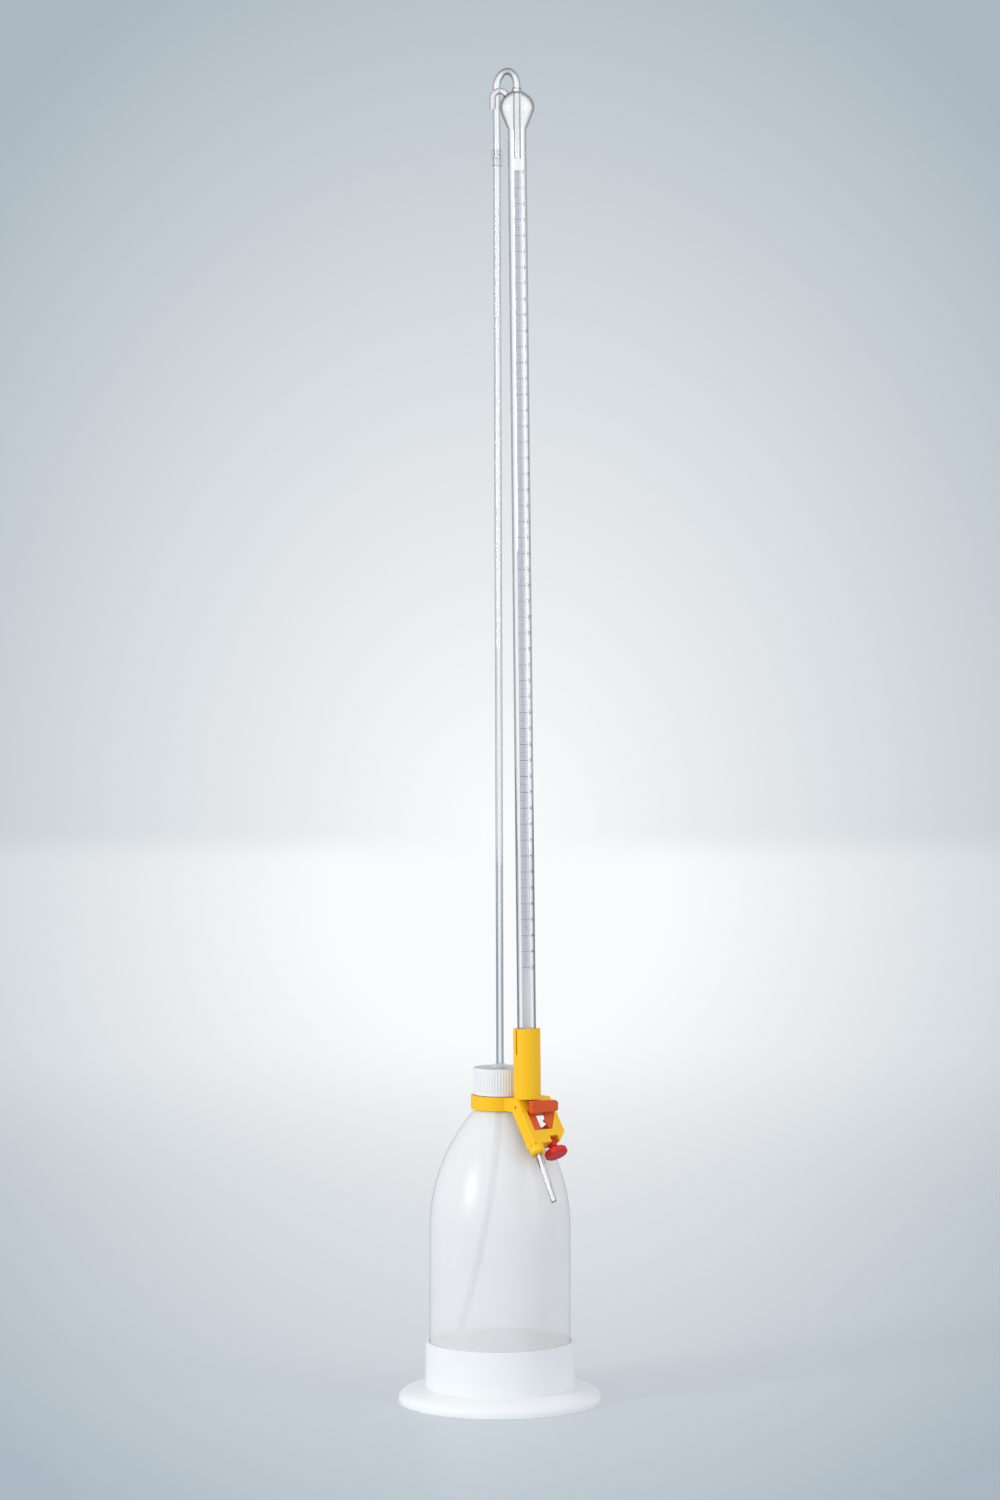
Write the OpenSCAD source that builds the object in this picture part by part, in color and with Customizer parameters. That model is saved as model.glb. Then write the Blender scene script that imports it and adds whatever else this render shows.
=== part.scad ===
// Self-zeroing titration burette on a squeeze bottle.
// Millimetres, +Z up, origin at the middle of the base's underside.
// The burette stands beside the bottle's neck in a moulded holder. A riser tube runs from the
// bottle, through the screw cap, to the overflow bend that sets the zero. A pinchcock with a
// push button and a fine-adjustment screw lets the burette out through a glass tip.

/* [Base] */
// Radius of the brim that stands on the bench
brim_r = 67.5; // [58:0.5:75]
// Height of the brim's upright edge
brim_edge = 2.5; // [1.5:0.1:4]
// Height at which the flare of the brim meets the cup
flare_h = 10; // [7:0.5:14]
// Height of the cup's rim
cup_h = 40.2; // [30:0.2:55]
// Wall of the cup
cup_wall = 2.4; // [1.6:0.1:4]
// Thickness of the cup's floor
cup_floor = 2.7; // [2:0.1:4]

/* [Bottle] */
// Radius of the bottle's straight body
bottle_r = 47; // [42:0.5:50]
// Height at which the shoulder starts
shoulder_z = 115; // [95:1:125]
// Radius of the shoulder's arc
shoulder_arc_r = 118; // [105:1:130]
// Wall of the bottle
bottle_wall = 1.5; // [1:0.1:2.2]
// Radius of the plain neck that the holder's ring goes round
neck_r = 16.4; // [15:0.1:18]
// Radius of the threaded mouth under the cap
mouth_r = 15.1; // [13.5:0.1:15.5]
// Rounding at the foot of the bottle
foot_round = 4; // [2:0.5:8]

/* [Cap] */
// Height of the screw cap
cap_h = 17.7; // [15:0.1:22]
// Wall of the cap's skirt
cap_wall = 2.1; // [1.5:0.1:3]
// Thickness of the cap's top
cap_top = 1.8; // [1.2:0.1:3]
// Thickness of the soft seal under the cap
seal_t = 0.8; // [0.5:0.1:1.5]
// Number of grip ribs round the cap
cap_ribs = 60; // [30:2:72]

/* [Riser tube] */
// Outer radius of the riser tube
riser_r = 2.45; // [2:0.05:3]
// Bore radius of the riser tube
riser_bore_r = 1.5; // [1:0.05:1.8]
// Radius of the curve that the tube takes inside the bottle
dip_curve_r = 570; // [545:5:650]
// Height of the tube's lower end above the bench
dip_end_z = 8; // [6:0.5:14]

/* [Burette] */
// Outer radius of the graduated glass tube
glass_r = 6.2; // [5.6:0.1:6.6]
// Wall of the glass
glass_wall = 0.7; // [0.5:0.05:1]
// Lean of the burette towards the bottle's axis, in degrees
lean = 0.95; // [0.5:0.05:1.2]
// Length from the arm's origin to the foot of the overflow bulb
bulb_foot = 646; // [560:1:660]
// Length of the cone under the bulb
bulb_cone = 15.7; // [12:0.1:20]
// Radius of the overflow bulb
bulb_r = 11.8; // [10:0.1:13]
// Height of the bulb's dome
bulb_dome = 10.8; // [9:0.1:12]
// Outer radius of the overflow bend's tube
bend_r = 2.5; // [2:0.1:2.8]
// Distance between the two legs of the overflow bend
bend_pitch = 21; // [19:0.1:23]
// Height of the bend's turn above the top of the dome
bend_rise = 3.9; // [3:0.1:8]
// How far the inner zero tube hangs below the bulb's foot
zero_drop = 18; // [10:0.5:24]
// Outer radius of the vent hook's tube
vent_r = 2.2; // [1.8:0.1:2.4]
// Radius of the vent hook's turn
vent_turn_r = 5; // [4.5:0.1:6]
// Length of the vent hook's open leg
vent_leg = 7; // [5:0.5:10]
// Direction of the vent hook, in degrees round the burette
vent_dir = 243; // [225:1:260]

/* [Sleeve] */
// Outer radius of the soft sleeve that joins glass and riser
sleeve_r = 3.4; // [3.1:0.1:4]
// Length of the soft sleeve
sleeve_len = 10.9; // [8:0.1:14]

/* [Holder] */
// Direction of the burette round the bottle, in degrees
holder_dir = -50; // [-70:1:-30]
// Distance from the bottle's axis to the burette's axis
reach = 28.3; // [27.5:0.1:30]
// Outer radius of the neck ring
ring_r = 19.4; // [18.9:0.1:20]
// Height of the neck ring
ring_h = 9; // [7:0.1:10]
// Outer radius of the upright socket
socket_r = 9; // [8.5:0.1:9.2]
// Height of the socket above the ring
socket_h = 46.2; // [36:0.2:60]
// Length of the slit in the socket's side
slit_len = 17; // [10:0.5:25]
// Width of the slit
slit_w = 1.2; // [0.8:0.1:2]
// Slant of the pinchcock's arm from upright, in degrees
slant = 34.4; // [32:0.2:36]
// Thickness of the arm
arm_t = 9.2; // [8.8:0.1:10]

/* [Pinchcock] */
// Travel of the push button
press_travel = 2; // [1:0.1:2.2]
// Outer radius of the soft pinch tube
hose_r = 2.5; // [2.2:0.1:2.6]
// Bore radius of the soft pinch tube
hose_bore_r = 1.25; // [0.9:0.05:1.4]
// Sideways splay of the pinch tube in the arm, in degrees
splay = 13.5; // [12.5:0.1:14.5]
// Width to which the closed pinchcock squeezes the tube
pinch_gap = 2.9; // [2.2:0.1:3.4]
// Thickness of the button's bar
bar_t = 3.3; // [2.5:0.1:5]
// Length of the button's bar
bar_len = 22.4; // [20:0.1:24]
// Height of the button's bar
bar_h = 8; // [6.5:0.1:8.1]
// Mean radius of the return spring
spring_r = 1.5; // [1.3:0.05:1.7]
// Diameter of the return spring's wire
spring_wire = 0.45; // [0.3:0.05:0.5]
// Number of turns of the return spring
spring_turns = 5; // [4:1:6]
// Radius of the spring's guide pin
pin_r = 0.75; // [0.6:0.05:0.9]

/* [Fine screw] */
// Sideways place of the screw's axis in the arm
screw_a = 7.5; // [7:0.1:8]
// Radius of the screw's shank
screw_r = 2; // [1.6:0.1:2.3]
// Radius of the screw's stem outside the arm
stem_r = 2.9; // [2.5:0.1:3.1]
// Radius of the screw's knob
knob_r = 7.75; // [6:0.25:8.5]
// Thickness of the screw's knob
knob_t = 4.6; // [3:0.1:6]
// Lift of the screw each way from where it is stored
screw_travel = 1.05; // [0.5:0.05:1.1]

/* [Dropping tip] */
// Turn of the tip away from the arm, in degrees
tip_splay = 6; // [4:0.5:8]
// Length of the glass tip below the ferrule's joint
tip_len = 42.5; // [35:0.5:50]
// Outer radius of the tip at its upper end
tip_r = 2.25; // [1.9:0.05:2.4]
// Outer radius of the tip at its outlet
tip_end_r = 1.75; // [1.2:0.05:1.9]
// Bore radius of the tip's outlet
tip_bore_r = 0.8; // [0.5:0.05:1]
// Outer radius of the ferrule
ferrule_r = 5; // [4.4:0.1:5.2]
// Length of the ferrule
ferrule_len = 7.5; // [6:0.5:10]

/* [Fits] */
// Gap between fixed pieces that fit into each other
seat_gap = 0.05; // [0.02:0.01:0.1]
// Gap between the bottle and the cup of the base
cup_gap = 0.3; // [0.2:0.05:0.6]
// Gap of a shank or pin that turns or slides in its bore
run_gap = 0.05; // [0.02:0.01:0.09]
// Gap between pieces that move past each other
move_gap = 0.3; // [0.2:0.05:0.4]
// Gap between flat faces that meet
face_gap = 0.1; // [0.05:0.01:0.2]

/* [Hidden] */
$fn = 96;
eps = 0.01;
over = 1;
big = 200;

// Heights that follow from the bottle
cup_r = bottle_r + cup_gap;
bottle_z = cup_floor + face_gap;
shoulder_axis = bottle_r - shoulder_arc_r;
shoulder_turn = acos((neck_r - shoulder_axis) / shoulder_arc_r);
neck_z = shoulder_z + shoulder_arc_r * sin(shoulder_turn);
ring_z = neck_z + move_gap;
ring_top = ring_z + ring_h;
cap_z = ring_top + 2 * move_gap;
cap_r = mouth_r + move_gap + cap_wall;
cap_inner_z = cap_z + cap_h - cap_top;
seal_z = cap_inner_z - face_gap - seal_t;
mouth_z = seal_z - face_gap;

// The grommet is a spool: a lip under the seal, a waist in the cap's hole and a flange on top
grommet_bore_r = riser_r + move_gap;
grommet_wall = 1.4;
grommet_flange_w = 1.6;
grommet_waist_r = grommet_bore_r + grommet_wall;
grommet_flange_r = grommet_waist_r + grommet_flange_w;
grommet_edge = 0.5;
grommet_lip_t = 1.2;
grommet_flange_t = 1;
grommet_dome = 1.6;
grommet_top = cap_z + cap_h + face_gap + grommet_flange_t + grommet_dome;

// Height of the arm's origin, where the burette's axis and the arm's middle plane meet
arm_step = 3.7;
arm_z = ring_z + arm_step;

// Foot of the upright socket, sunk a little into the arm's head
socket_sink = 0.1;
socket_foot = ring_top - arm_z - socket_sink;

// The bulb and the bend, along the burette's axis from the arm's origin
bulb_wide = bulb_foot + bulb_cone;
bulb_top = bulb_wide + bulb_dome;
bend_z = bulb_top + bend_rise;
bend_bore_r = bend_r - glass_wall;
vent_bore_r = vent_r - glass_wall;
vent_room = 1.7;
vent_rise = 5.6;
vent_axis = vent_r + bend_r + vent_room;
vent_z = bulb_wide + vent_rise;
sleeve_drop = 15.7;
sleeve_mid = bulb_foot - sleeve_drop;

// The glass is drawn to a nozzle inside the socket and stands on a soft cushion there
socket_bore_r = glass_r + seat_gap;
cushion_z = 13;
cushion_t = 1.6;
nozzle_step = 0.55;
nozzle_r = hose_bore_r + nozzle_step;
nozzle_len = 8;
cone_len = 7;
glass_foot = cushion_z + cushion_t;
hose_stop = 1;
hose_top = glass_foot - hose_stop;
cushion_inset = 0.2;

// Direction of the pinch tube, seen from the burette's axis
arm_turn = slant - lean;
hose_turn = acos(cos(splay) * cos(arm_turn));
hose_dir = atan2(-sin(splay), cos(splay) * sin(arm_turn));
hose_bend_r = 16;
hose_tangent = hose_bend_r * tan(hose_turn / 2);
hose_corner = hose_bend_r * (1 / cos(hose_turn / 2) - 1);
hose_way_r = hose_r + hose_corner + move_gap;
hose_way_step = 0.1;
hose_way_over = 2.5;

// The retaining pin ends just short of the pinch tube's way and stands proud of the arm
lug_pin_wall = 0.9;
lug_pin_end = -hose_way_r - lug_pin_wall;
lug_pin_proud = 0.2;

// Outline of the arm, sideways (a) and down the arm (b)
arm_left = -10.5;
arm_right = 18;
arm_half = arm_t / 2;
arm_head = -9;
arm_corner_b = 22.7;
arm_foot_b = 29.4;
arm_foot_a = 10.9;
arm_cheek_b = 25;
nose_cut = 1;
nose_b = 28;
nose_a = -tan(splay) * nose_b;
tip_shoulder = 4.6;
hose_end = 4.2;
hose_foot = nose_b / cos(splay) + hose_end;

// The window and what slides in it
window_left = -6.5;
window_right = 15.3;
window_top = 5.5;
window_bend = 9.6;
window_foot = 20;
window_foot_a = 8.6;
lip_t = 0.6;
leg_t = 0.9;
leg_front = arm_half - lip_t - move_gap;
leg_back = leg_front - leg_t;
pinch_b = 14;
jaw_h = 3;
pinch_mid = -tan(splay) * pinch_b;
anvil_face = pinch_mid + pinch_gap / 2;
jaw_face = pinch_mid - pinch_gap / 2;
jaw_t = 1.6;
leg_left = jaw_face - jaw_t;
leg_right = 0.3;
jaw_over = 0.5;
jaw_back = -(hose_r + jaw_over);
pocket_left = leg_left - press_travel - move_gap;
anvil_t = 1.7;
anvil_right = anvil_face + anvil_t;
anvil_front = leg_back - move_gap;
anvil_head = 11.8;
bridge_b = 8.6;
bridge_front = 7;
bridge_left = window_left + press_travel + move_gap;

// The button's bar stands upright in front of the slanted arm, under the socket's foot
bar_left = -5.5;
bar_right = bar_left + bar_len;
bar_top = socket_foot - move_gap - face_gap;
bar_foot = bar_top - bar_h;
bar_chamfer = 1.6;
bar_taper = 0.8;
bar_back = (arm_half + move_gap - bar_foot * sin(slant)) / cos(slant);
nose_tip_a = 4.6;
nose_tip_b = 13.2;
right_leg_a = 7.4;
right_leg_b = 11.2;
tail_a = 6.4;
tail_b = 15;
tail_slope = 0.9;
tail_right = 10.8;
tail_step = 0.6;
tail_foot = window_foot - move_gap;
tail_back = -3.4;

// The return spring and its pin lie across the arm, behind the window's foot
spring_b = 17.2;
spring_n = -1.4;
spring_left = anvil_right + move_gap;
spring_right = tail_a + face_gap;
spring_len = spring_right - spring_left;
pin_inset = 0.4;
pin_reach = 1.9;
pin_left = anvil_face + pin_inset;
pin_right = tail_a + pin_reach;

// The fine screw, down the arm
thrust_top = tail_foot + move_gap + face_gap + screw_travel;
thrust_r = 0.9;
thrust_end_r = 0.3;
thrust_cone = 1;
thrust_len = 4;
shank_top = thrust_top + thrust_cone;
notch_b = 24.9;
stem_top = notch_b + screw_travel + move_gap;
knob_b = 33.3;
notch_room = 0.7;
notch_r = stem_r + notch_room;

// The dip tube and the riser meet in the grommet, and the riser runs straight to the glass leg
riser_step = 2;
riser_z = seal_z + riser_step;
joint_r = reach - bend_pitch * cos(lean) - sleeve_mid * sin(lean);
joint_z = arm_z - bend_pitch * sin(lean) + sleeve_mid * cos(lean);
riser_tilt = atan2(-joint_r, joint_z - riser_z);
riser_len = (joint_z - riser_z) / cos(riser_tilt) - face_gap;
dip_turn = asin((riser_z - face_gap - dip_end_z) / dip_curve_r);

// Points along an arc of radius r round c, from angle a0 to a1
function arc(c, r, a0, a1, n) =
    [for (i = [0:n]) let (a = a0 + (a1 - a0) * i / n) [c[0] + r * cos(a), c[1] + r * sin(a)]];

// The holder's frame: X away from the bottle's axis, Y round it
module holder_frame() rotate([0, 0, holder_dir]) translate([reach, 0, arm_z]) children();
// The burette's frame: Z up along the glass
module burette_frame() holder_frame() rotate([0, -lean, 0]) children();
// The arm's frame: X out of its face, Y sideways, Z up along it
module arm_frame() holder_frame() rotate([0, -slant, 0]) children();
// The splayed pinch tube's frame, and the tip's
module hose_frame() arm_frame() rotate([-splay, 0, 0]) children();
module tip_frame() arm_frame() translate([0, nose_a, -nose_b]) rotate([-tip_splay, 0, 0]) children();

// A plate in the arm from its outline in sideways and down-the-arm sizes, between depths n0 and n1
module arm_plate(outline, n0, n1)
    translate([n0, 0, 0]) rotate([90, 0, 90]) linear_extrude(n1 - n0)
        polygon([for (p = outline) [p[0], -p[1]]]);

// A block in the arm: sideways a0 to a1, down the arm b0 to b1, depth n0 to n1
module arm_block(a0, a1, b0, b1, n0, n1)
    translate([n0, a0, -b1]) cube([n1 - n0, a1 - a0, b1 - b0]);

// A round bar across the arm
module arm_cross(a0, a1, b, n, r)
    translate([n, a0, -b]) rotate([-90, 0, 0]) cylinder(r = r, h = a1 - a0);

// A round bar down the arm on the fine screw's axis
module screw_bar(b0, b1, r0, r1)
    translate([0, screw_a, -b1]) cylinder(r1 = r1, r2 = r0, h = b1 - b0);

// The section of a tube, and a straight tube
module ring(r, bore) difference() {
    circle(r);
    circle(bore);
}
module tube(r, bore, h) linear_extrude(h) ring(r, bore);

// A bend that turns down from its start and outwards along X, with the children as its section
module bend(turn_r, turn)
    translate([turn_r, 0, 0]) rotate([90, 0, 0]) rotate([0, 0, 180])
        rotate_extrude(angle = turn) translate([turn_r, 0]) children();

// White moulded base: a cup with a flared brim
module base() {
    flare_w = brim_r - cup_r - cup_wall;
    flare = [for (t = [0:10:90])
        [cup_r + cup_wall + flare_w * cos(t), brim_edge + (flare_h - brim_edge) * sin(t)]];
    color("white")
    rotate_extrude()
        polygon(concat([[0, 0], [brim_r, 0]], flare,
            [[cup_r + cup_wall, cup_h], [cup_r, cup_h], [cup_r, cup_floor], [0, cup_floor]]));
}

// Outline of the bottle from its foot to its mouth, drawn in by the wall for the inside
function bottle_outline(inset, foot) =
    concat([[0, foot]],
        arc([bottle_r - foot_round, bottle_z + foot_round], foot_round - inset, -90, 0, 6),
        arc([shoulder_axis, shoulder_z], shoulder_arc_r - inset, 0, shoulder_turn, 20));

// Squeeze bottle with a plain neck and a mouth for the cap
module bottle() {
    bore_r = mouth_r - bottle_wall;
    color("whitesmoke")
    difference() {
        rotate_extrude()
            polygon(concat(bottle_outline(0, bottle_z),
                [[neck_r, cap_z - move_gap], [mouth_r, cap_z - move_gap], [mouth_r, mouth_z],
                 [0, mouth_z]]));
        rotate_extrude()
            polygon(concat(bottle_outline(bottle_wall, bottle_z + bottle_wall),
                [[bore_r, neck_z + bottle_wall], [bore_r, mouth_z + eps], [0, mouth_z + eps]]));
    }
}

// Ribbed screw cap, open in the middle for the riser's grommet
module screw_cap() {
    rib_r = 0.35;
    rib_inset = 2;
    color("ghostwhite")
    translate([0, 0, cap_z])
    difference() {
        union() {
            cylinder(r = cap_r, h = cap_h);
            for (i = [0:cap_ribs - 1]) rotate([0, 0, i * 360 / cap_ribs])
                translate([cap_r, 0, rib_inset]) cylinder(r = rib_r, h = cap_h - 2 * rib_inset, $fn = 6);
        }
        translate([0, 0, -eps]) cylinder(r = mouth_r + move_gap, h = cap_h - cap_top + eps);
        cylinder(r = grommet_waist_r + run_gap, h = cap_h + over);
    }
}

// Soft flat seal under the cap
module cap_seal() {
    seal_inset = 0.2;
    color("gainsboro")
    translate([0, 0, seal_z])
    difference() {
        cylinder(r = mouth_r - seal_inset, h = seal_t);
        translate([0, 0, -over]) cylinder(r = grommet_waist_r + seat_gap, h = seal_t + 2 * over);
    }
}

// Soft spool that guides the riser through the cap
module riser_grommet() {
    flange_z = cap_z + cap_h + face_gap;
    color("lightgray")
    difference() {
        union() {
            translate([0, 0, seal_z - grommet_lip_t])
                cylinder(r = grommet_flange_r, h = grommet_lip_t);
            translate([0, 0, seal_z - eps])
                cylinder(r = grommet_waist_r, h = flange_z - seal_z + grommet_flange_t);
            translate([0, 0, flange_z]) cylinder(r = grommet_flange_r, h = grommet_flange_t);
            translate([0, 0, flange_z + grommet_flange_t])
                cylinder(r1 = grommet_flange_r, r2 = grommet_bore_r + grommet_edge, h = grommet_dome);
        }
        translate([0, 0, seal_z - grommet_lip_t - over])
            cylinder(r = grommet_bore_r, h = grommet_top - seal_z + grommet_lip_t + 2 * over);
    }
}

// Dip tube, curved from the cap down to the foot of the bottle
module dip_tube()
    color("lightcyan")
    translate([-dip_curve_r, 0, riser_z - face_gap]) rotate([90, 0, 0]) rotate([0, 0, -dip_turn])
        rotate_extrude(angle = dip_turn) translate([dip_curve_r, 0]) ring(riser_r, riser_bore_r);

// Riser tube, tilted a little from the cap to the glass
module riser_tube()
    color("lightcyan")
    translate([0, 0, riser_z]) rotate([0, 0, holder_dir]) rotate([0, -riser_tilt, 0])
        tube(riser_r, riser_bore_r, riser_len);

// Soft sleeve that joins the riser to the glass
module connector_sleeve()
    color("lightgray")
    burette_frame() translate([-bend_pitch, 0, sleeve_mid - sleeve_len / 2])
    difference() {
        cylinder(r = sleeve_r, h = sleeve_len);
        translate([0, 0, -over]) cylinder(r = bend_r + seat_gap, h = sleeve_len + 2 * over);
    }

// Outline of the glass from its nozzle to the bulb's top, drawn in by the wall for the inside
function glass_outline(inset) =
    concat(
        [[nozzle_r - inset, glass_foot - nozzle_len], [nozzle_r - inset, glass_foot],
         [glass_r - inset, glass_foot + cone_len], [glass_r - inset, bulb_foot]],
        [for (t = [0:10:80])
            [(bulb_r - inset) * cos(t), bulb_wide + (bulb_dome - inset) * sin(t)]],
        [[0, bulb_top - inset]]);

// The bulb's outside, which the vent hook is joined to
module bulb_solid()
    burette_frame() rotate_extrude()
        polygon(concat([[0, bulb_foot]], [for (p = glass_outline(0)) if (p[1] >= bulb_foot) p]));

// Graduated glass tube with its overflow bulb and its nozzle
module burette_tube() {
    nozzle_foot = glass_foot - nozzle_len;
    color("azure", 0.5)
    burette_frame()
    difference() {
        rotate_extrude() polygon(concat([[0, nozzle_foot]], glass_outline(0)));
        rotate_extrude()
            polygon(concat([[0, nozzle_foot - eps], [nozzle_r - glass_wall, nozzle_foot - eps]],
                glass_outline(glass_wall)));
        translate([0, 0, bulb_wide]) cylinder(r = bend_r + seat_gap, h = bulb_dome + over);
        rotate([0, 0, vent_dir]) translate([vent_axis, 0, bulb_wide])
            cylinder(r = vent_bore_r, h = bulb_dome + over);
    }
}

// The overflow bend as one round bar, from the sleeve over the top into the bulb
module bend_bar(r, past) {
    translate([-bend_pitch, 0, sleeve_mid + face_gap - past])
        cylinder(r = r, h = bend_z - sleeve_mid - face_gap + past);
    translate([0, 0, bulb_foot - zero_drop - past])
        cylinder(r = r, h = bend_z - bulb_foot + zero_drop + past);
    translate([-bend_pitch / 2, 0, bend_z]) rotate([90, 0, 0])
        rotate_extrude(angle = 180) translate([bend_pitch / 2, 0]) circle(r);
}

// Overflow bend with the inner zero tube
module overflow_bend()
    color("azure", 0.5)
    burette_frame()
    difference() {
        bend_bar(bend_r, 0);
        bend_bar(bend_bore_r, over);
    }

// The vent hook as one round bar
module vent_bar(r, past)
    burette_frame() rotate([0, 0, vent_dir]) translate([vent_axis + vent_turn_r, 0, vent_z]) {
        rotate([90, 0, 0]) rotate_extrude(angle = 180) translate([vent_turn_r, 0]) circle(r);
        translate([vent_turn_r, 0, -vent_leg - past]) cylinder(r = r, h = vent_leg + past);
    }

// Glass hook that lets the bulb breathe
module vent_hook()
    color("azure", 0.5)
    difference() {
        vent_bar(vent_r, 0);
        vent_bar(vent_bore_r, over);
        bulb_solid();
    }

// Soft ring that the glass stands on inside the socket
module socket_cushion()
    color("lightgray")
    burette_frame() translate([0, 0, cushion_z])
    difference() {
        cylinder(r = glass_r - cushion_inset, h = cushion_t);
        translate([0, 0, -over]) cylinder(r = hose_r + move_gap, h = cushion_t + 2 * over);
    }

// Outline of the pinchcock's arm
arm_outline = [[arm_left, arm_head], [arm_right, arm_head], [arm_right, arm_corner_b],
    [arm_foot_a, arm_foot_b], [nose_a - ferrule_r + nose_cut, arm_foot_b],
    [arm_left, arm_cheek_b]];

// Outline of the window, with the slanted side that the button's right leg follows
window_outline = [[window_left, window_top], [window_right, window_top], [window_right, window_bend],
    [window_foot_a, window_foot], [window_left, window_foot]];

// The way through the holder for the pinch tube: two bores that cross where the tube bends
module hose_way() {
    way_past = 4;
    burette_frame() translate([0, 0, -hose_way_over])
        cylinder(r = hose_way_r, h = cushion_z + hose_way_over);
    hose_frame() translate([0, 0, -hose_foot - way_past])
        cylinder(r = hose_way_r + hose_way_step, h = hose_foot + way_past + hose_way_over);
}

// Yellow moulded holder: neck ring, lug, upright socket and pinchcock arm in one piece
module holder() {
    lug_sink = 2;
    lug_inner = neck_r - lug_sink;
    lug_step = 0.3;
    lug_half = -arm_left - lug_step;
    slit_top = ring_top - arm_z + socket_h;
    color("gold")
    difference() {
        union() {
            translate([0, 0, ring_z]) cylinder(r = ring_r, h = ring_h);
            holder_frame() translate([lug_inner - reach, -lug_half, ring_z + lug_step - arm_z])
                cube([reach - lug_inner + lug_sink, 2 * lug_half, ring_h - 2 * lug_step]);
            burette_frame() translate([0, 0, socket_foot])
                cylinder(r = socket_r, h = slit_top - socket_foot);
            difference() {
                arm_frame() arm_plate(arm_outline, -arm_half, arm_half);
                translate([0, 0, ring_top + lug_step + big / 2]) cube(big, center = true);
            }
        }
        translate([0, 0, ring_z - over]) cylinder(r = neck_r + seat_gap, h = ring_h + big);
        burette_frame() translate([0, 0, cushion_z - face_gap])
            cylinder(r = socket_bore_r, h = slit_top - cushion_z + over);
        hose_way();
        burette_frame() translate([-slit_w / 2, -socket_r - over, slit_top - slit_len])
            cube([slit_w, socket_r + over, slit_len + over]);
        arm_frame() {
            difference() {
                arm_plate(window_outline, -arm_half - over, arm_half + over);
                arm_block(anvil_face, anvil_right, anvil_head, window_foot + over,
                    -arm_half, anvil_front);
            }
            arm_block(pocket_left, window_left + eps, window_top, window_foot,
                jaw_back - move_gap, leg_front + move_gap);
            arm_cross(pin_left, anvil_right + over, spring_b, spring_n, pin_r);
            screw_bar(window_foot - over, arm_foot_b + over, screw_r + run_gap, screw_r + run_gap);
            screw_bar(notch_b, arm_foot_b + over, notch_r, notch_r);
            arm_block(screw_a - notch_r, screw_a + notch_r, notch_b, arm_foot_b + over,
                0, arm_half + over);
            arm_cross(arm_left - over, lug_pin_end + face_gap, 0, 0, pin_r + seat_gap);
        }
    }
}

// Short pin through the lug that keeps the hose on its nozzle
module retaining_pin()
    color("firebrick")
    arm_frame() arm_cross(arm_left - lug_pin_proud, lug_pin_end, 0, 0, pin_r);

// Soft tube from the nozzle to the tip, squeezed shut between the jaw and the anvil
module pinch_tube() {
    shut_above = 2;
    shut_below = 3;
    shut_top = pinch_b - jaw_h / 2 - shut_above;
    shut_foot = pinch_b + jaw_h / 2 + shut_below;
    nozzle_foot = glass_foot - nozzle_len - face_gap;
    color("gainsboro")
    difference() {
        union() {
            burette_frame() {
                translate([0, 0, nozzle_foot]) tube(hose_r, nozzle_r + seat_gap, hose_top - nozzle_foot);
                translate([0, 0, hose_tangent]) tube(hose_r, hose_bore_r, nozzle_foot - hose_tangent);
                translate([0, 0, hose_tangent]) rotate([0, 0, hose_dir])
                    bend(hose_bend_r, hose_turn) ring(hose_r, hose_bore_r);
            }
            hose_frame() {
                translate([0, 0, -shut_top]) tube(hose_r, hose_bore_r, shut_top - hose_tangent);
                translate([0, 0, -shut_foot]) cylinder(r = hose_r, h = shut_foot - shut_top);
                translate([0, 0, -hose_foot]) tube(hose_r, hose_bore_r, hose_foot - shut_foot);
            }
        }
        arm_frame() {
            arm_block(-big, jaw_face + move_gap, pinch_b - jaw_h / 2 - move_gap,
                pinch_b + jaw_h / 2 + move_gap, -big, big);
            arm_block(anvil_face, big, anvil_head, window_foot, -big, big);
        }
    }
}

// Red push button: an outside bar, two legs in the window, the jaw and the tail for the screw
module push_button() {
    bar_end = bar_right - bar_chamfer;
    bar = [[bar_left, bar_top], [bar_end, bar_top - bar_taper],
        [bar_right, bar_top - bar_taper - bar_chamfer], [bar_right, bar_foot + bar_taper],
        [bar_end, bar_foot], [bar_left, bar_foot]];
    leg_top = window_top + move_gap;
    slope_ease = 1.2;
    edge_shift = move_gap * slope_ease;
    right_leg = [[right_leg_a, leg_top], [window_right - edge_shift, leg_top],
        [window_right - edge_shift, window_bend], [window_foot_a - edge_shift, tail_foot],
        [tail_a + tail_slope, tail_foot], [tail_a, tail_b], [nose_tip_a, nose_tip_b],
        [right_leg_a, right_leg_b]];
    tail = [[tail_a + face_gap, tail_b + tail_step], [tail_right, tail_b + tail_step],
        [window_foot_a - edge_shift, tail_foot], [tail_a + tail_slope, tail_foot]];
    color("orangered")
    arm_frame()
    difference() {
        union() {
            rotate([0, slant, 0]) translate([bar_back, 0, 0]) rotate([90, 0, 90]) linear_extrude(bar_t)
                polygon(bar);
            arm_block(bridge_left, window_right - edge_shift, leg_top, bridge_b, leg_back, bridge_front);
            arm_block(leg_left, leg_right, leg_top, tail_foot, leg_back, leg_front);
            arm_block(leg_left, jaw_face, pinch_b - jaw_h / 2, pinch_b + jaw_h / 2,
                jaw_back, leg_front);
            arm_plate(right_leg, leg_back, arm_half - move_gap);
            arm_plate(tail, tail_back, arm_half - move_gap);
        }
        arm_cross(0, big, spring_b, spring_n, pin_r + run_gap);
    }
}

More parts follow.
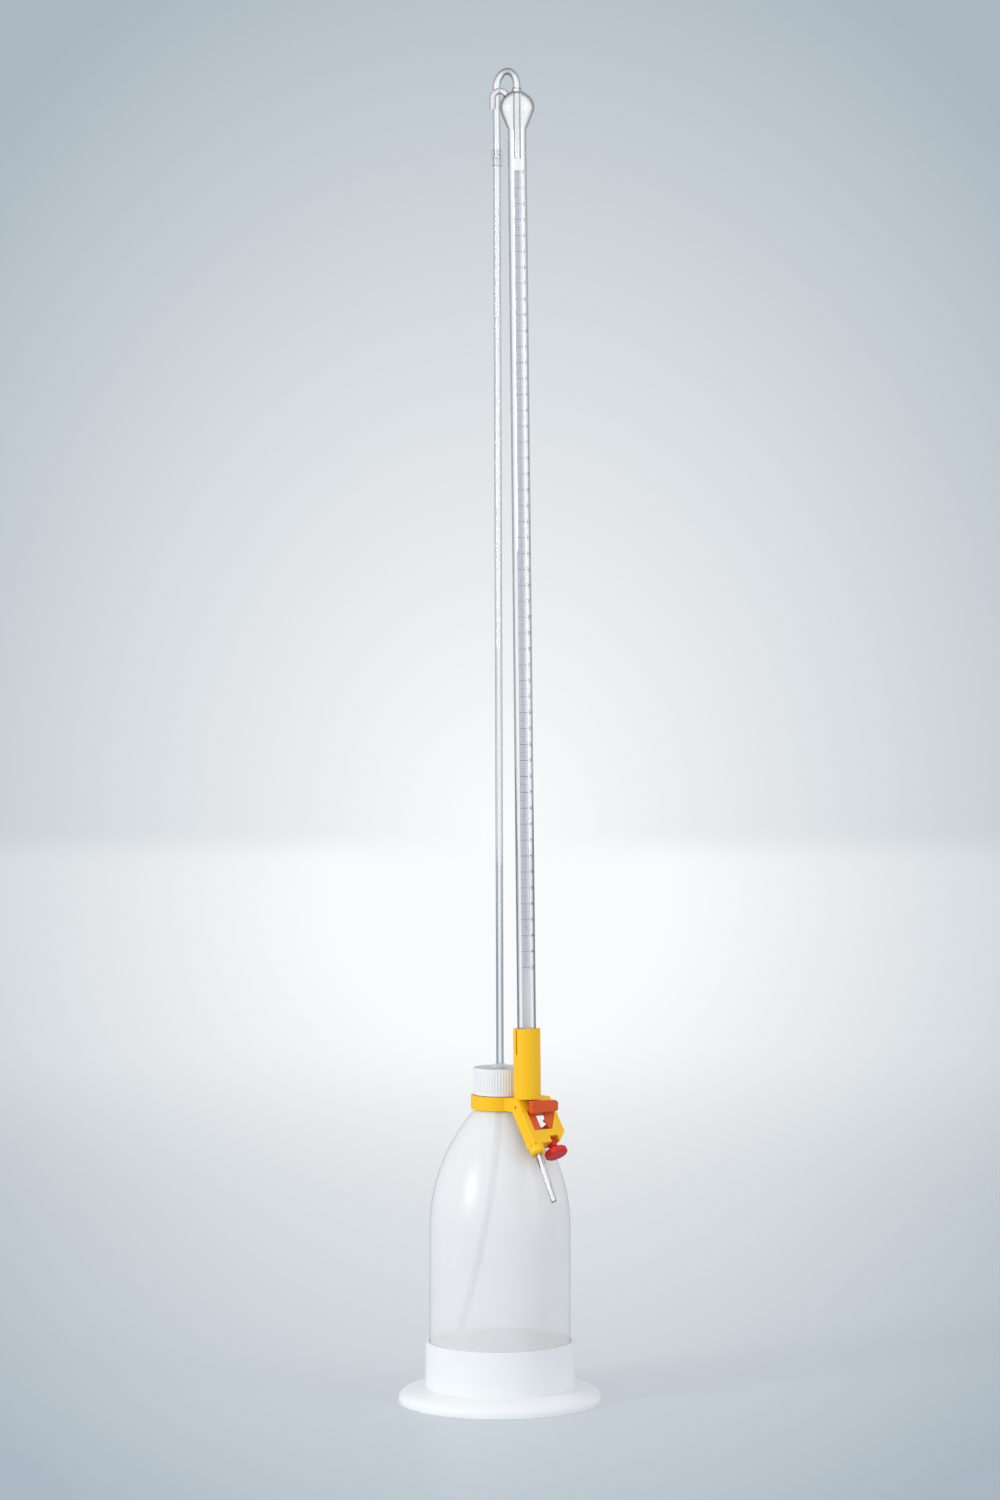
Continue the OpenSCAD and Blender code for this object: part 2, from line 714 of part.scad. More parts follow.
// Centre line of the return spring: a helix across the arm
turn_rings = 8;
spring_rings = turn_rings * spring_turns;
spring_line = [for (i = [0:spring_rings]) let (a = 360 * i / turn_rings)
    [spring_r * cos(a), spring_r * sin(a),
     spring_wire / 2 + (spring_len - spring_wire) * i / spring_rings]];
spring_gap = min([for (i = [0:spring_rings - turn_rings + 2],
    j = [i + turn_rings - 2:min(i + turn_rings + 2, spring_rings)])
    norm(spring_line[i] - spring_line[j])]) - spring_wire;
echo("return spring, least gap between turns", spring_gap);

// A tube of six sides along a line of points
module wire_tube(line, r) {
    sides = 6;
    last = len(line) - 1;
    rings = [for (i = [0:last])
        let (ahead = line[min(i + 1, last)] - line[max(i - 1, 0)], way = ahead / norm(ahead),
             across = cross(way, [0, 0, 1]), side = across / norm(across), up = cross(side, way))
        [for (k = [0:sides - 1]) let (a = 360 * k / sides) line[i] + r * (cos(a) * side + sin(a) * up)]];
    walls = [for (i = [0:last - 1], k = [0:sides - 1])
        let (a = i * sides + k, b = i * sides + (k + 1) % sides)
        each [[a, b, b + sides], [a, b + sides, a + sides]]];
    ends = [for (k = [1:sides - 2]) each [[0, k + 1, k],
        [last * sides, last * sides + k, last * sides + k + 1]]];
    polyhedron([for (ring = rings) each ring], concat(walls, ends));
}

// Coil spring that keeps the pinchcock shut
module return_spring()
    color("silver")
    arm_frame() translate([spring_n, spring_left, -spring_b]) rotate([-90, 0, 0])
        wire_tube(spring_line, spring_wire / 2);

// Pin that guides the button and carries the spring
module spring_pin()
    color("silver")
    arm_frame() arm_cross(pin_left + face_gap, pin_right, spring_b, spring_n, pin_r);

// Red fine-adjustment screw with its round knob
module micro_screw() {
    rim = 1;
    collar_len = 2;
    collar_step = 0.5;
    color("firebrick")
    arm_frame()
    difference() {
        union() {
            screw_bar(shank_top, stem_top + eps, screw_r, screw_r);
            screw_bar(stem_top, knob_b - collar_len, stem_r, stem_r);
            screw_bar(knob_b - collar_len - eps, knob_b, stem_r - collar_step, stem_r - collar_step);
            screw_bar(knob_b - eps, knob_b + rim, knob_r - rim, knob_r);
            screw_bar(knob_b + rim, knob_b + knob_t - rim, knob_r, knob_r);
            screw_bar(knob_b + knob_t - rim, knob_b + knob_t, knob_r, knob_r - rim);
        }
        screw_bar(shank_top - over, shank_top + thrust_len, thrust_r + run_gap, thrust_r + run_gap);
    }
}

// Steel tip in the screw's end that bears on the button's tail
module thrust_tip()
    color("silver")
    arm_frame() {
        screw_bar(thrust_top, shank_top - face_gap, thrust_end_r, thrust_r);
        screw_bar(shank_top - face_gap - eps, shank_top + thrust_len - move_gap, thrust_r, thrust_r);
    }

// Ferrule under the arm's foot that holds the tip
module tip_ferrule() {
    hose_room = 1;
    chamfer = 1;
    seat_wall = 3;
    color("gold")
    difference() {
        tip_frame() translate([0, 0, -ferrule_len]) difference() {
            union() {
                translate([0, 0, chamfer]) cylinder(r = ferrule_r, h = ferrule_len + over);
                cylinder(r1 = ferrule_r - chamfer, r2 = ferrule_r, h = chamfer + eps);
            }
            translate([0, 0, -over]) cylinder(r = tip_r + seat_gap, h = ferrule_len - seat_wall);
            translate([0, 0, ferrule_len - tip_shoulder]) cylinder(r = hose_r + hose_room, h = ferrule_len);
        }
        arm_frame() arm_block(-big, big, -big, arm_foot_b + face_gap, -big, big);
    }
}

// Glass dropping tip
module dropping_tip() {
    neck_len = 6;
    neck_sink = 0.5;
    color("azure", 0.5)
    tip_frame()
    difference() {
        union() {
            translate([0, 0, -tip_len]) cylinder(r1 = tip_end_r, r2 = tip_r, h = tip_len - ferrule_len);
            translate([0, 0, -ferrule_len - eps]) cylinder(r = tip_r, h = ferrule_len - tip_shoulder);
            translate([0, 0, -tip_shoulder - neck_sink]) cylinder(r = hose_bore_r, h = neck_len);
        }
        translate([0, 0, -tip_len - over]) cylinder(r = tip_bore_r, h = tip_len + neck_len + over);
    }
}

base();
bottle();
screw_cap();
cap_seal();
riser_grommet();
dip_tube();
riser_tube();
connector_sleeve();
burette_tube();
overflow_bend();
vent_hook();
socket_cushion();
holder();
retaining_pin();
pinch_tube();
push_button();
return_spring();
spring_pin();
micro_screw();
thrust_tip();
tip_ferrule();
dropping_tip();
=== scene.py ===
# %% [markdown]
# # A self-zeroing burette, dressed
# The solids come in as a fixed frame: every piece is already where it belongs, in metres. This lesson
# gives each piece its finish, and makes again what solids show badly: clear glass, a milky bottle, soft
# tubing, the printed scale. A made piece sits at the origin with its place in its mesh. Sizes of pieces
# are in millimetres, and `MM` turns them into metres.

# %% The frame
import math
import bpy
import bmesh
from mathutils import Matrix, Vector


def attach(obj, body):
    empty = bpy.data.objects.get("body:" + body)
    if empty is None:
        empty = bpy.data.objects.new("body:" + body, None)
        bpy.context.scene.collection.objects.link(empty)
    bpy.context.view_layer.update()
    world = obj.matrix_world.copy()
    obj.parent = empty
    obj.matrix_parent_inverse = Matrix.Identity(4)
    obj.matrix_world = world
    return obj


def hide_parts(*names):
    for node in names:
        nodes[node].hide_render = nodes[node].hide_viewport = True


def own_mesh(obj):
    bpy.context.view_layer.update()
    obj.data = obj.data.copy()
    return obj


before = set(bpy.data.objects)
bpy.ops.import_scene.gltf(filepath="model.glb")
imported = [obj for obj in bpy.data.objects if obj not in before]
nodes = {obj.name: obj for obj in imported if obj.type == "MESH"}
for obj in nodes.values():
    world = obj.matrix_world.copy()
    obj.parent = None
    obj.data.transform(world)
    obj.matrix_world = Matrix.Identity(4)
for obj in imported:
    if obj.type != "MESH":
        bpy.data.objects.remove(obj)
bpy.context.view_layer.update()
MM = 0.001

# %% [markdown]
# ## Camera
# The ellipses of the base, the cup and the ring give the height and distance of the lens. It looks
# level, and a small shift puts the object in the frame as the picture does. Tilting the camera instead
# would make upright lines lean.

# %% Camera
CAMERA_PLACE = (0, -2.625, 0.500)
LENS, SENSOR_WIDTH = 94.5, 36
FRAME_HEIGHT_PX, SHIFT_PX = 1500, -100
camera = bpy.data.objects.new("camera", bpy.data.cameras.new("camera"))
bpy.context.scene.collection.objects.link(camera)
camera.location = CAMERA_PLACE
camera.rotation_euler = (math.radians(90), 0, 0)
camera.data.lens = LENS
camera.data.sensor_width = SENSOR_WIDTH
camera.data.shift_y = SHIFT_PX / FRAME_HEIGHT_PX
bpy.context.scene.camera = camera
bpy.context.scene.view_settings.view_transform = "Standard"
print("camera at", CAMERA_PLACE, "lens", LENS)

# %% [markdown]
# ## Shader maths as Python
# A finish is easier to read as an expression than as a list of links. `Wire` wraps a socket, and its
# operators add Math nodes, also where the number comes first, as in `1 - mask`. Numbers alone are worked
# out in Python and need no node.


# %% Wire
def feed(tree, socket, value):
    """Link a wire to a socket, or set the socket to a plain value."""
    if isinstance(value, Wire):
        tree.links.new(value.socket, socket)
    else:
        socket.default_value = value


class Wire:
    def __init__(self, tree, socket):
        self.tree, self.socket = tree, socket

    def math(self, operation, first, second):
        made = self.tree.nodes.new("ShaderNodeMath")
        made.operation = operation
        feed(self.tree, made.inputs[0], first)
        feed(self.tree, made.inputs[1], second)
        return Wire(self.tree, made.outputs[0])

    def __add__(self, other): return self.math("ADD", self, other)
    def __radd__(self, other): return self.math("ADD", other, self)
    def __sub__(self, other): return self.math("SUBTRACT", self, other)
    def __rsub__(self, other): return self.math("SUBTRACT", other, self)
    def __mul__(self, other): return self.math("MULTIPLY", self, other)
    def __rmul__(self, other): return self.math("MULTIPLY", other, self)
    def __truediv__(self, other): return self.math("DIVIDE", self, other)
    def __rtruediv__(self, other): return self.math("DIVIDE", other, self)
    def __pow__(self, other): return self.math("POWER", self, other)


# %% [markdown]
# `Finish` holds one material. Its `node` method adds any node: the settings first, then the sockets, by
# name or, where several share a name, by number. The other methods are the few things that the finishes
# here have in common, such as noise, a mix of two colours, or the kind of ray that arrives.


# %% Finish
class Finish:
    def __init__(self, name):
        self.material = bpy.data.materials.new(name)
        self.material.use_nodes = True
        self.tree = self.material.node_tree
        self.shader = self.tree.nodes["Principled BSDF"]
        self.output = self.tree.nodes["Material Output"]

    def node(self, kind, settings=None, output=0, **inputs):
        """Any node; an input is a socket's name with underscores, or i and the socket's number."""
        made = self.tree.nodes.new("ShaderNode" + kind)
        for key, value in (settings or {}).items():
            setattr(made, key, value)
        for key, value in inputs.items():
            numbered = key[0] == "i" and key[1:].isdigit()
            feed(self.tree, made.inputs[int(key[1:]) if numbered else key.replace("_", " ")], value)
        return Wire(self.tree, made.outputs[output])

    def set(self, **sockets):
        for key, value in sockets.items():
            feed(self.tree, self.shader.inputs[key.replace("_", " ")], value)

    def place(self):
        return self.node("TexCoord", output="Object")

    def noise(self, scale, detail):
        return self.node("TexNoise", Vector=self.place(), Scale=scale, Detail=detail)

    def mix(self, factor, first, second):
        """Two colours; a Mix node has its colour sockets at 6 and 7 and its colour output at 2."""
        return self.node("Mix", {"data_type": "RGBA"}, 2, i0=factor, i6=first, i7=second)

    def ease(self, value, start, full):
        """Nought up to start, one from full on, and a soft rise between them."""
        return self.node("MapRange", {"interpolation_type": "SMOOTHSTEP"}, Value=value, i1=start, i2=full)

    def edge_on(self, start, full):
        """Nought where a wall faces the eye, rising to one where it is seen edge on."""
        return self.ease(self.node("LayerWeight", output="Facing", Blend=0.5), start, full)

    def ray(self, *kinds):
        """One where any of these kinds of ray arrives."""
        found = None
        for kind in kinds:
            wire = self.node("LightPath", output=f"Is {kind} Ray")
            found = wire if found is None else found.math("MAXIMUM", found, wire)
        return found

    def swap(self, share, other):
        """Show another shader in place of the main one, by this share."""
        main = Wire(self.tree, self.shader.outputs[0])
        shown = self.node("MixShader", i0=share, i1=main, i2=other)
        self.tree.links.new(shown.socket, self.output.inputs[0])


# %% [markdown]
# Colours are easiest to judge as the eye reads them on a screen. A shader takes linear values, so each
# colour passes through the screen's own curve once.


# %% Colour
def srgb(red, green, blue):
    """A colour as the eye reads it, 0 to 255, in the linear values that a shader takes."""
    linear = [v / 255 / 12.92 if v <= 10 else ((v / 255 + 0.055) / 1.055) ** 2.4
              for v in (red, green, blue)]
    return (*linear, 1)


# %% [markdown]
# ## Finishes
# Moulded plastic is never one flat colour: the shade drifts over a few centimetres, the gloss is uneven
# and the skin has a fine grain. A rounded-edge normal catches light where a tool's edge would, which
# saves a bevel on every solid.

# %% Moulded plastic
DRIFT_SCALE, GRAIN_SCALE, GRAIN_DEPTH = 45, 2600, 0.0002
PLASTIC_INDEX, PLASTIC_SHINE, EDGE_SAMPLES = 1.5, 0.32, 6


def moulded(name, colour, shade, gloss, gloss_drift, grain=0.02, edge=0.35):
    """Plastic that drifts from colour to shade; edge is the radius of its rounded edges."""
    made = Finish(name)
    drift = made.noise(DRIFT_SCALE, 3)
    fine = made.noise(GRAIN_SCALE, 2)
    edge_normal = made.node("Bevel", {"samples": EDGE_SAMPLES}, Radius=edge * MM)
    skin = made.node("Bump", Strength=grain, Distance=GRAIN_DEPTH, Height=fine, Normal=edge_normal)
    made.set(Base_Color=made.mix(drift, colour, shade), Roughness=drift * gloss_drift + gloss, Normal=skin)
    made.set(IOR=PLASTIC_INDEX, Specular_IOR_Level=PLASTIC_SHINE)
    return made.material


YELLOW = moulded("holder_yellow", srgb(253, 198, 28), srgb(249, 188, 14), gloss=0.28, gloss_drift=0.16)
RED = moulded("button_red", srgb(228, 92, 34), srgb(217, 82, 30), gloss=0.34, gloss_drift=0.16)
DARK_RED = moulded("knob_red", srgb(222, 48, 42), srgb(208, 42, 40), gloss=0.5, gloss_drift=0.14)
WHITE = moulded("base_white", srgb(238, 240, 241), srgb(233, 235, 237), gloss=0.24, gloss_drift=0.16,
                grain=0.015, edge=0.8)
print("moulded", [finish.name for finish in (YELLOW, RED, DARK_RED, WHITE)])

# %% [markdown]
# Clear glass needs a true refractive index and walls with a real inside. Where a wall is seen edge on, its
# colour turns to a painted grey shade; a thin tube shows more of this painted edge than a wide one. Lamps
# and soft light pass straight through, so that what lies behind is lit.

# %% Clear finishes
GLASS_EDGE_SHADE, FLOW_SCALE = (0.1, 0.085, 0.11, 1), 60
WIDE_EDGE, THIN_EDGE = (0.3, 0.72), (0.14, 0.6)
GLASS_TINT, GLASS_INDEX, TUBE_INDEX = (0.97, 0.985, 0.99, 1), 1.47, 1.42


def clear(name, tint, index, rough=0.0, drift=0.01, edge=WIDE_EDGE):
    """Clear stuff with a painted grey shade where a wall is seen edge on."""
    made = Finish(name)
    # Painted shade: the base colour darkens to near black where the wall is seen edge on.
    made.set(Base_Color=made.mix(made.edge_on(*edge), tint, GLASS_EDGE_SHADE), IOR=index)
    made.set(Roughness=made.noise(FLOW_SCALE, 2) * drift + rough)
    made.set(Transmission_Weight=1.0)
    made.swap(made.ray("Shadow", "Diffuse"), made.node("BsdfTransparent", Color=tint))
    return made.material


GLASS = clear("clear_glass", GLASS_TINT, GLASS_INDEX)
THIN_GLASS = clear("thin_glass", GLASS_TINT, GLASS_INDEX, edge=THIN_EDGE)
TUBE = clear("clear_tube", (0.94, 0.96, 0.975, 1), TUBE_INDEX, drift=0.003, edge=THIN_EDGE)
TUBING = clear("clear_tubing", (0.92, 0.93, 0.945, 1), TUBE_INDEX, rough=0.04, drift=0.04)
print("clear", [finish.name for finish in (GLASS, THIN_GLASS, TUBE, TUBING)])

# %% [markdown]
# The bottle and the cap are milky polyethylene. True scattering inside a thin wall is slow to render, so
# the finish stops a share of the light at each wall and lets the rest through: things inside show faintly.
# The same finish, denser or thinner, serves the soft rings, the milk strip and the dip tube.

# %% Milky finishes
# Painted shade: a grey that milky walls take where they are seen edge on.
EDGE_SHADE, EDGE_SHADE_AT = srgb(186, 193, 200), (0.72, 0.98)
CLOUD_SCALE, CLOUD_DRIFT, PORE_SCALE, PORE_DEPTH = 28, 0.12, 900, 0.0003


def milky(name, colour, shade, body, gloss, grain=0.05):
    """Thin polyethylene: body is the share of light that one surface stops, a little uneven."""
    made = Finish(name)
    cloud = made.noise(CLOUD_SCALE, 4)
    fine = made.noise(PORE_SCALE, 2)
    # The colour turns to the painted grey edge shade where the wall is seen edge on.
    tone = made.mix(made.edge_on(*EDGE_SHADE_AT), made.mix(cloud, colour, shade), EDGE_SHADE)
    made.set(Base_Color=tone, Roughness=cloud * CLOUD_DRIFT + gloss)
    made.set(Normal=made.node("Bump", Strength=grain, Distance=PORE_DEPTH, Height=fine))
    made.set(Alpha=cloud * CLOUD_DRIFT + (body - CLOUD_DRIFT / 2), IOR=PLASTIC_INDEX)
    return made.material


BLOWN = srgb(250, 249, 249), srgb(245, 245, 246)
BOTTLE = milky("bottle_milky", *BLOWN, body=0.68, gloss=0.24)
BOTTLE_INSIDE = milky("bottle_inside", *BLOWN, body=0.08, gloss=0.4)
CAP = milky("cap_milky", srgb(252, 253, 254), srgb(247, 249, 251), body=0.84, gloss=0.24)
SOFT = milky("soft_clear", srgb(232, 235, 240), srgb(218, 223, 229), body=0.45, gloss=0.16, grain=0.02)
MILK = milky("milk_glass", srgb(224, 216, 220), srgb(217, 210, 214), body=0.7, gloss=0.3, grain=0.01)
DIP = milky("dip_milky", srgb(196, 208, 217), srgb(189, 202, 212), body=0.88, gloss=0.3, grain=0.0)
# Painted light: a white core that stands for the bright backdrop seen through a fine bore.
BORE_LIGHT = milky("painted_bore_light", srgb(252, 252, 253), srgb(248, 249, 251), body=0.92, gloss=0.4, grain=0.0)
print("milky", [finish.name for finish in (BOTTLE, BOTTLE_INSIDE, CAP, SOFT, MILK, DIP, BORE_LIGHT)])

# %% [markdown]
# The spring and the small pins are drawn steel, and the scale is a matt blue-grey ink that has worn a
# little. Every solid then gets its finish by name.

# %% Steel and ink
DRAWN_SCALE, WEAR_SCALE = 1400, 1200


def steel(name):
    made = Finish(name)
    drawn = made.noise(DRAWN_SCALE, 3)
    made.set(Base_Color=srgb(196, 198, 202), Roughness=drawn * 0.2 + 0.2)
    made.set(Metallic=1.0)
    return made.material


def ink(name):
    made = Finish(name)
    wear = made.noise(WEAR_SCALE, 2)
    worn = made.mix(wear, srgb(58, 92, 124), srgb(82, 114, 144))
    made.set(Base_Color=worn, Roughness=wear * 0.2 + 0.4)
    return made.material


STEEL = steel("spring_steel")
INK = ink("scale_ink")

CAD_FINISH = {
    "base": WHITE, "bottle": BOTTLE, "screw_cap": CAP, "cap_seal": SOFT, "riser_grommet": SOFT,
    "dip_tube": DIP, "riser_tube": TUBE, "connector_sleeve": SOFT, "burette_tube": GLASS,
    "overflow_bend": THIN_GLASS, "vent_hook": THIN_GLASS, "socket_cushion": SOFT, "holder": YELLOW,
    "retaining_pin": DARK_RED, "pinch_tube": SOFT, "push_button": RED, "return_spring": STEEL,
    "spring_pin": STEEL, "micro_screw": DARK_RED, "thrust_tip": STEEL, "tip_ferrule": YELLOW,
    "dropping_tip": GLASS,
}
for name, finish in CAD_FINISH.items():
    nodes[name].data.materials.clear()
    nodes[name].data.materials.append(finish)
print("finishes on solids", len(set(CAD_FINISH.values())))

# %% [markdown]
# ## Where things stand
# The burette leans a little towards the bottle, and the pinchcock's arm slants outwards. A few matrices
# hold those frames, from the same sizes that the solids have, so a made piece lands on the solid that it
# stands for.

# %% Frames
HOLDER_DIR, REACH, LEAN, SLANT, SPLAY = -50, 28.3, 0.95, 34.4, 13.5
BOTTLE_R, SHOULDER_Z, SHOULDER_ARC_R, NECK_R, ARM_RISE = 47, 115, 118, 16.4, 4.0
SHOULDER_TURN = math.acos((NECK_R - BOTTLE_R + SHOULDER_ARC_R) / SHOULDER_ARC_R)
NECK_Z = SHOULDER_Z + SHOULDER_ARC_R * math.sin(SHOULDER_TURN)
ARM_Z = NECK_Z + ARM_RISE


def turn(axis, degrees):
    return Matrix.Rotation(math.radians(degrees), 4, axis)


def shift(x=0, y=0, z=0):
    return Matrix.Translation((x * MM, y * MM, z * MM))


HOLDER = turn("Z", HOLDER_DIR) @ shift(REACH, 0, ARM_Z)
BURETTE = HOLDER @ turn("Y", -LEAN)
ARM = HOLDER @ turn("Y", -SLANT)
print("neck at", round(NECK_Z, 1), "mm, arm at", round(ARM_Z, 1), "mm")

# %% [markdown]
# ## Two ways to make a round thing
# `lathe` turns an outline about an axis and is for the bottle, the bulb and the soft rings. `sweep` runs
# a round section along a path and is for bends and hoses. Both close their walls, so light can pass
# through two real surfaces. Each ends in `finish_mesh`, which merges doubles, turns the faces outwards and
# keeps hard edges hard.

# %% Mesh
MERGE, SHARP = 1e-7, math.radians(35)


def finish_mesh(name, verts, faces, place, material, lining=None, lined=()):
    """One mesh at its place; the faces numbered in lined wear the lining."""
    mesh = bpy.data.meshes.new(name)
    mesh.from_pydata([place @ (Vector(v) * MM) for v in verts], [], faces)
    for number in lined:
        mesh.polygons[number].material_index = 1
    shape = bmesh.new()
    shape.from_mesh(mesh)
    bmesh.ops.remove_doubles(shape, verts=shape.verts, dist=MERGE)
    bmesh.ops.recalc_face_normals(shape, faces=shape.faces)
    shape.to_mesh(mesh)
    shape.free()
    mesh.shade_smooth()
    mesh.set_sharp_from_angle(angle=SHARP)
    mesh.materials.append(material)
    if lining:
        mesh.materials.append(lining)
    made = bpy.data.objects.new(name, mesh)
    bpy.context.scene.collection.objects.link(made)
    print(name, len(mesh.polygons), "faces")
    return made


# %% [markdown]
# A lathe's outline is a list of radius and height, from the foot up the outside and back down the inside.
# Where it touches the axis, one point closes the pole.

# %% Lathe
POLE = 1e-6


def polar(radius, angle):
    return radius * math.cos(angle), radius * math.sin(angle)


def lathe(name, outline, place, material, steps, lining=None, lined_from=0):
    """Turn a closed outline; its runs from lined_from on are the inside and wear the lining."""
    verts, rings = [], []
    for radius, height in outline:
        count = 1 if radius < POLE else steps
        rings.append([len(verts) + k for k in range(count)])
        verts += [(*polar(radius, math.tau * k / steps), height) for k in range(count)]
    faces, lined = [], []
    for run, (first, second) in enumerate(zip(rings, rings[1:] + rings[:1])):
        for k in range(steps):
            corners = [first[k % len(first)], first[(k + 1) % len(first)],
                       second[(k + 1) % len(second)], second[k % len(second)]]
            corners = list(dict.fromkeys(corners))
            if len(corners) > 2:
                if lining and run >= lined_from:
                    lined.append(len(faces))
                faces.append(corners)
    return finish_mesh(name, verts, faces, place, material, lining, lined)


def arc(centre, radius, start, end, count):
    """Points of an arc in a plane, as (across, up)."""
    angles = [math.radians(start + (end - start) * i / count) for i in range(count + 1)]
    return [(centre[0] + radius * math.cos(a), centre[1] + radius * math.sin(a)) for a in angles]


# %% [markdown]
# A sweep carries its sideways direction along the path and only turns it as far as the path bends, so the
# section doesn't twist. Its radii may change along the way.


# %% Sweep
def even(radius):
    """The same round section all along."""
    return lambda share: (radius, radius)


def sweep(name, path, outer, inner, place, material, sides=32):
    """A tube along path; outer and inner give (sideways, depth) radii at each point's share of it."""
    path = [Vector(p) for p in path]
    last = len(path) - 1
    side = Vector((0, 1, 0))
    verts = []
    for i, point in enumerate(path):
        way = (path[min(i + 1, last)] - path[max(i - 1, 0)]).normalized()
        side = (side - way * side.dot(way)).normalized()
        up = way.cross(side)
        for wide, deep in (outer(i / last), inner(i / last)):
            verts += [point + side * wide * math.cos(math.tau * k / sides)
                      + up * deep * math.sin(math.tau * k / sides) for k in range(sides)]
    faces = []
    for k in range(sides):
        j = (k + 1) % sides
        for i in range(last):
            a, b = 2 * sides * i, 2 * sides * (i + 1)
            faces.append((a + k, a + j, b + j, b + k))
            faces.append((a + sides + j, a + sides + k, b + sides + k, b + sides + j))
        end = 2 * sides * last
        faces.append((k, sides + k, sides + j, j))
        faces.append((end + j, end + sides + j, end + sides + k, end + k))
    return finish_mesh(name, verts, faces, place, material)


# %% [markdown]
# ## Squeeze bottle
# The bottle is blown from soft polyethylene, so its outline is one sweep from the foot to the neck with no
# corner. A lathe with a fine outline keeps the shoulder's highlight smooth. The inside wears a thinner
# finish, so the far wall doesn't hide the dip tube.

# %% Bottle
BOTTLE_WALL, BOTTLE_Z, FOOT_ROUND = 1.5, 2.8, 4
RING_GAP, RING_H, CAP_GAP = 0.3, 9, 0.6
CAP_Z = NECK_Z + RING_GAP + RING_H + CAP_GAP
CAP_H, CAP_TOP, SEAL_T, FACE_GAP = 17.7, 1.8, 0.8, 0.1
MOUTH_R = 15.1
MOUTH_Z = CAP_Z + CAP_H - CAP_TOP - SEAL_T - 2 * FACE_GAP
SHELF_FOOT, SHELF_EDGE, SHELF_DROP, LIP_ROUND, BORE_ROUND = 0.9, 0.5, 0.4, 0.3, 0.2


def bottle_side(inset):
    foot = arc((BOTTLE_R - FOOT_ROUND, BOTTLE_Z + FOOT_ROUND), FOOT_ROUND - inset, -90, 0, 10)
    shoulder = arc((BOTTLE_R - SHOULDER_ARC_R, SHOULDER_Z), SHOULDER_ARC_R - inset, 0,
                   math.degrees(SHOULDER_TURN), 40)
    return [(0, foot[0][1])] + foot + shoulder


mouth_bore = MOUTH_R - BOTTLE_WALL
outside = bottle_side(0) + [
    (NECK_R, CAP_Z - SHELF_FOOT), (NECK_R - LIP_ROUND, CAP_Z - SHELF_EDGE), (MOUTH_R, CAP_Z - SHELF_DROP),
    (MOUTH_R, MOUTH_Z - LIP_ROUND), (MOUTH_R - LIP_ROUND, MOUTH_Z)]
inside = bottle_side(BOTTLE_WALL) + [
    (mouth_bore, NECK_Z + BOTTLE_WALL), (mouth_bore, MOUTH_Z - BORE_ROUND),
    (mouth_bore + BORE_ROUND, MOUTH_Z)]
bottle = lathe("squeeze_bottle", outside + inside[::-1], Matrix(), BOTTLE, 128, BOTTLE_INSIDE, len(outside))
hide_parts("bottle")
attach(bottle, "stand")

# %% [markdown]
# The thread at the mouth is a helix, seen faintly through the cap and plainly when the cap is off. The
# solid has a plain neck there, so a low ridge is swept round it.

# %% Neck thread
THREAD_TURNS, THREAD_PITCH, THREAD_R, THREAD_DROP = 3, 3.0, 0.22, 12.5
THREAD_STEPS, THREAD_CORE = 36, 0.2
thread_path = []
for step in range(THREAD_STEPS * THREAD_TURNS + 1):
    thread_path.append((*polar(MOUTH_R, math.tau * step / THREAD_STEPS),
                        MOUTH_Z - THREAD_DROP + THREAD_PITCH * step / THREAD_STEPS))
thread = sweep("neck_thread", thread_path, even(THREAD_R), even(THREAD_R * THREAD_CORE), Matrix(), BOTTLE, 8)
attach(thread, "stand")

# %% [markdown]
# ## Glass
# The burette is one blown piece: a bore of eleven millimetres, a bulb with a cone under it, and a flare at
# the top where the overflow bend is sealed in. One outline does for the outside and, set in by the wall,
# for the inside.

# %% Burette tube
GLASS_R, GLASS_WALL = 6.2, 0.7
BULB_FOOT, BULB_CONE, BULB_R, BULB_DOME = 646, 15.7, 11.8, 10.8
BULB_WIDE = BULB_FOOT + BULB_CONE
BULB_TOP = BULB_WIDE + BULB_DOME
BEND_R, BEND_PITCH, BEND_RISE, ZERO_DROP = 2.5, 21, 3.9, 18
BEND_Z = BULB_TOP + BEND_RISE
GLASS_FOOT, NOZZLE_R, NOZZLE_LEN, NOZZLE_THIN, CONE_LEN = 14.6, 1.8, 8, 0.8, 7
NOZZLE_TURN, NOZZLE_RISE, CONE_IN, CONE_BELOW, CONE_SOFT, CONE_ABOVE = 0.5, 0.6, 1.2, 2, 0.2, 1.5
WAIST_R, WAIST_DROP, WAIST_STEPS = 9, 1, 6
DOME_FROM, DOME_STEP, DOME_STEPS, DOME_CUT = -12.2, 6.6, 16, 1.2
# Points of the flare: out from the seal, thinned by a share of the inset, up from the dome, sunk by a share.
FLARE = ((2.0, 0.5, -0.9, 1), (0.9, 0.4, 0.4, 1), (0.25, 0, 2.0, 2))
SEAL_GAP, SEAL_TOP, SEAL_FOOT = 0.05, 2.4, 1.0
seal_r = BEND_R + SEAL_GAP


